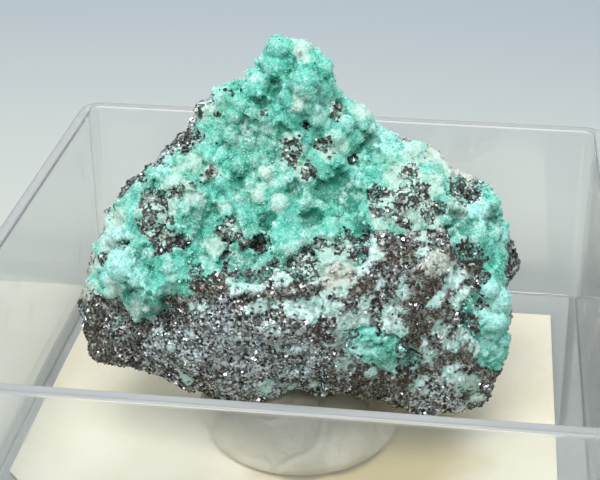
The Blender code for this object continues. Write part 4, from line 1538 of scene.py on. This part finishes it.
@dataclass
class PuttyMound:
    """The mound of putty between the label and the stone.

    Attributes:
        centre: Its middle on the label.
        foot: The height of its foot.
        rings: Radius and height pairs of its side, up from the foot.
        dents: The heights and sizes of its dents.
        fold: The depth, size, seed and width of the creases between them.
        flat: Up to which height its foot stays round, and over how much the dents grow above it.
        face: The size of its faces.
    """

    centre: Pair = (-0.3 * MM, -1.2 * MM)
    foot: float = 1.45 * MM
    rings: Pairs = (
        (8.2 * MM, 0.0), (9.1 * MM, 0.4 * MM), (9.4 * MM, 1.1 * MM), (9.0 * MM, 2.2 * MM),
        (8.0 * MM, 3.8 * MM), (7.5 * MM, 5.6 * MM), (7.2 * MM, 7.4 * MM), (4.5 * MM, 8.6 * MM),
    )
    dents: Pairs = ((1.0, 5.5 * MM), (0.3, 2.2 * MM))
    fold: tuple[float, float, int, float] = (0.35, 7.0 * MM, 9, 0.08)
    flat: Pair = (0.4 * MM, 1.2 * MM)
    face: float = 0.3 * MM

    def build(self) -> None:
        """Draws the mound up ring by ring, then presses it out of round."""
        circle = bpy.ops.mesh.primitive_circle_add
        piece = add(circle, "putty_mound", vertices=96, radius=self.rings[0][0], fill_type="NGON")
        with editing(piece):
            for (inner, low), (outer, high) in itertools.pairwise(self.rings):
                bpy.ops.mesh.extrude_region_move(TRANSFORM_OT_translate={"value": (0, 0, high - low)})
                bpy.ops.transform.resize(value=(outer / inner, outer / inner, 1.0))
            bpy.ops.mesh.select_all(action="SELECT")
            bpy.ops.mesh.normals_make_consistent(inside=False)
        remesh(piece, self.face, 4)
        skin = Skin(piece.data)
        foot, rise = self.flat
        above = smooth_step((skin.points[:, 2] - foot) / rise)
        dents = sum(height * noise_at(skin.points, size) for height, size in self.dents)
        depth, size, seed, width = self.fold
        dents -= depth * smooth_step(1 - np.abs(noise_at(skin.points, size, seed)) / width)
        skin.move(MM * dents * above)
        skin.place(skin.points + (*self.centre, self.foot))
        piece.data.shade_smooth()
        finish_piece(piece, MineralPutty().make(), "putty", "putty")


@dataclass
class PaperLabel:
    """The paper label on the box's floor, a little wavy.

    Attributes:
        thickness: The paper's thickness.
        cut: How much of each front corner is cut off.
        steps: The grid's divisions.
        underside: The height of its underside.
        wave: The height and size of its waves, and the share of the height that lies above the floor.
    """

    thickness: float = 0.16 * MM
    cut: float = 3.2 * MM
    steps: int = 60
    underside: float = 1.24 * MM
    wave: tuple[float, float, float] = (0.12 * MM, 13.0 * MM, 0.6)

    def build(self) -> None:
        """Models the label inside its CAD node's outline."""
        low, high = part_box("label")
        grid = bpy.ops.mesh.primitive_grid_add
        piece = add(grid, "paper_label", x_subdivisions=self.steps, y_subdivisions=self.steps, size=1.0)
        with editing(piece):
            bpy.ops.transform.resize(value=(high.x - low.x, high.y - low.y, 1.0))
            bpy.ops.transform.translate(value=((low.x + high.x) / 2, (low.y + high.y) / 2, self.underside))
            for side in (-1, 1):
                corner = (low.x + self.cut if side < 0 else high.x - self.cut, low.y, 0)
                bpy.ops.mesh.select_all(action="SELECT")
                bpy.ops.mesh.bisect(plane_co=corner, plane_no=(side, -1, 0), clear_outer=True)
        apply_modifier(piece, "SOLIDIFY", thickness=self.thickness, offset=1.0)
        skin = Skin(piece.data)
        height, size, above = self.wave
        lift = height * (noise_at(skin.points * (1, 1, 0), size) + above)
        skin.place(skin.points + lift.clip(0)[:, None] * (0, 0, 1))
        finish_piece(piece, LabelPaper().make(), "paper", "label")


@dataclass
class ClearTray:
    """The clear box: one moulding with rounded upright corners and softened rims.

    Attributes:
        wall: Its walls' thickness.
        corner: The radius of its upright corners.
        draft: How much its hollow narrows towards the floor.
        edge: The radius of its other edges.
        sharp: The angle from which an edge counts as one.
    """

    wall: float = 1.2 * MM
    corner: float = 2.2 * MM
    draft: float = 0.994
    edge: float = 0.28 * MM
    sharp: float = math.radians(50)

    def build(self) -> None:
        """Models the box from a block, by sinking its hollow into the top."""
        low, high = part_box("clear_box")
        size = high - low
        piece = add(bpy.ops.mesh.primitive_cube_add, "clear_tray", size=1.0)
        with editing(piece):
            bpy.ops.transform.resize(value=size)
            bpy.ops.transform.translate(value=(low + high) / 2)
            bpy.ops.mesh.select_mode(type="EDGE")
            choose(piece, "edges", lambda edge: abs(edge.verts[0].co.z - edge.verts[1].co.z) > size.z / 2)
            bpy.ops.mesh.bevel(offset=self.corner, segments=8, affect="EDGES")
            bpy.ops.mesh.select_mode(type="FACE")
            choose(piece, "faces", lambda face: face.normal.z > UPRIGHT)
            bpy.ops.mesh.inset(thickness=self.wall)
            bpy.ops.mesh.extrude_region_move(TRANSFORM_OT_translate={"value": (0, 0, self.wall - size.z)})
            bpy.ops.transform.resize(value=(self.draft, self.draft, 1.0), center_override=(0, 0, self.wall))
            bpy.ops.mesh.select_all(action="SELECT")
            bpy.ops.mesh.normals_make_consistent(inside=False)
        rounding = {"width": self.edge, "segments": 3, "limit_method": "ANGLE", "angle_limit": self.sharp}
        apply_modifier(piece, "BEVEL", **rounding)
        take_up(piece)
        bpy.ops.object.shade_smooth_by_angle(angle=self.sharp)
        apply_modifier(piece, "WEIGHTED_NORMAL", keep_sharp=True)
        finish_piece(piece, ClearPolystyrene(high.z).make(), "clear_plastic", "clear_box")


@dataclass(frozen=True)
class Lamp:
    """A square soft light: its name, its middle, its side in metres, its power and its colour."""

    name: str
    place: tuple[float, float, float]
    side: float
    watts: float
    colour: str

    def build(self, aim: Vector) -> None:
        """Adds the light.

        Args:
            aim: Where it points.
        """
        lamp = bpy.data.lights.new(self.name, "AREA")
        lamp.size = self.side
        lamp.energy = self.watts
        lamp.color = linear(self.colour)[:3]
        obj = bpy.data.objects.new(self.name, lamp)
        obj.location = self.place
        obj.rotation_euler = (aim - Vector(self.place)).to_track_quat("-Z", "Y").to_euler()
        bpy.context.scene.collection.objects.link(obj)


@dataclass
class Studio:
    """A pale floor, soft lights and the camera.

    Attributes:
        floor_side: The floor's side.
        near: Its colour under the box.
        far: Its colour behind the box, darker and bluer as painted shade.
        shade: Between which depths it changes.
        lamps: The lights.
        aim: Where they point.
        air: The room's colour and how strongly it lights.
    """

    floor_side: float = 4.0
    near: str = "#BDC0B8"
    far: str = "#9CA6AB"
    shade: Pair = (20 * MM, 140 * MM)
    lamps: tuple[Lamp, ...] = (
        Lamp("key", (-0.03, -0.22, 0.40), 0.26, 1.65, "#FFFFFF"),
        Lamp("back", (-0.05, 0.40, 0.35), 0.35, 0.8, "#F8FBFF"),
    )
    aim: tuple[float, float, float] = (0.0, 0.0, 20 * MM)
    air: tuple[str, float] = ("#E6EDF2", 0.75)

    def build(self) -> None:
        """Sets up the floor, the lights, the world and the camera."""
        floor = add(bpy.ops.mesh.primitive_plane_add, "studio_floor", size=self.floor_side)
        finish = Finish("studio_floor_matt")
        # Painted shade: the floor darkens and turns bluer towards the back, as the light's fall-off.
        tone = finish.mix(finish.ramp(finish.along("Y"), *self.shade), self.near, self.far)
        floor.data.materials.append(finish.shade(Base_Color=tone, Roughness=0.6))
        for lamp in self.lamps:
            lamp.build(Vector(self.aim))
        world = bpy.data.worlds.new("studio_air")
        bpy.context.scene.world = world
        world.use_nodes = True
        background = world.node_tree.nodes["Background"]
        background.inputs["Color"].default_value = linear(self.air[0])
        background.inputs["Strength"].default_value = self.air[1]
        self.camera()

    def camera(self) -> None:
        """Adds the camera at the viewpoint."""
        data = bpy.data.cameras.new("camera")
        data.lens = VIEW.lens
        data.clip_start = 5 * MM
        obj = bpy.data.objects.new("camera", data)
        obj.location = VIEW.place
        obj.rotation_euler = (math.pi / 2 - VIEW.down, 0, VIEW.turn)
        bpy.context.scene.collection.objects.link(obj)
        bpy.context.scene.camera = obj
        bpy.context.scene.view_settings.view_transform = "Standard"


def main() -> None:
    """Builds the specimen, its holder and the studio."""
    logging.basicConfig(level=logging.INFO, format="%(relativeCreated)d ms %(message)s")
    Studio().build()
    Specimen().build()
    PuttyMound().build()
    PaperLabel().build()
    ClearTray().build()


if __name__ == "__main__":
    main()
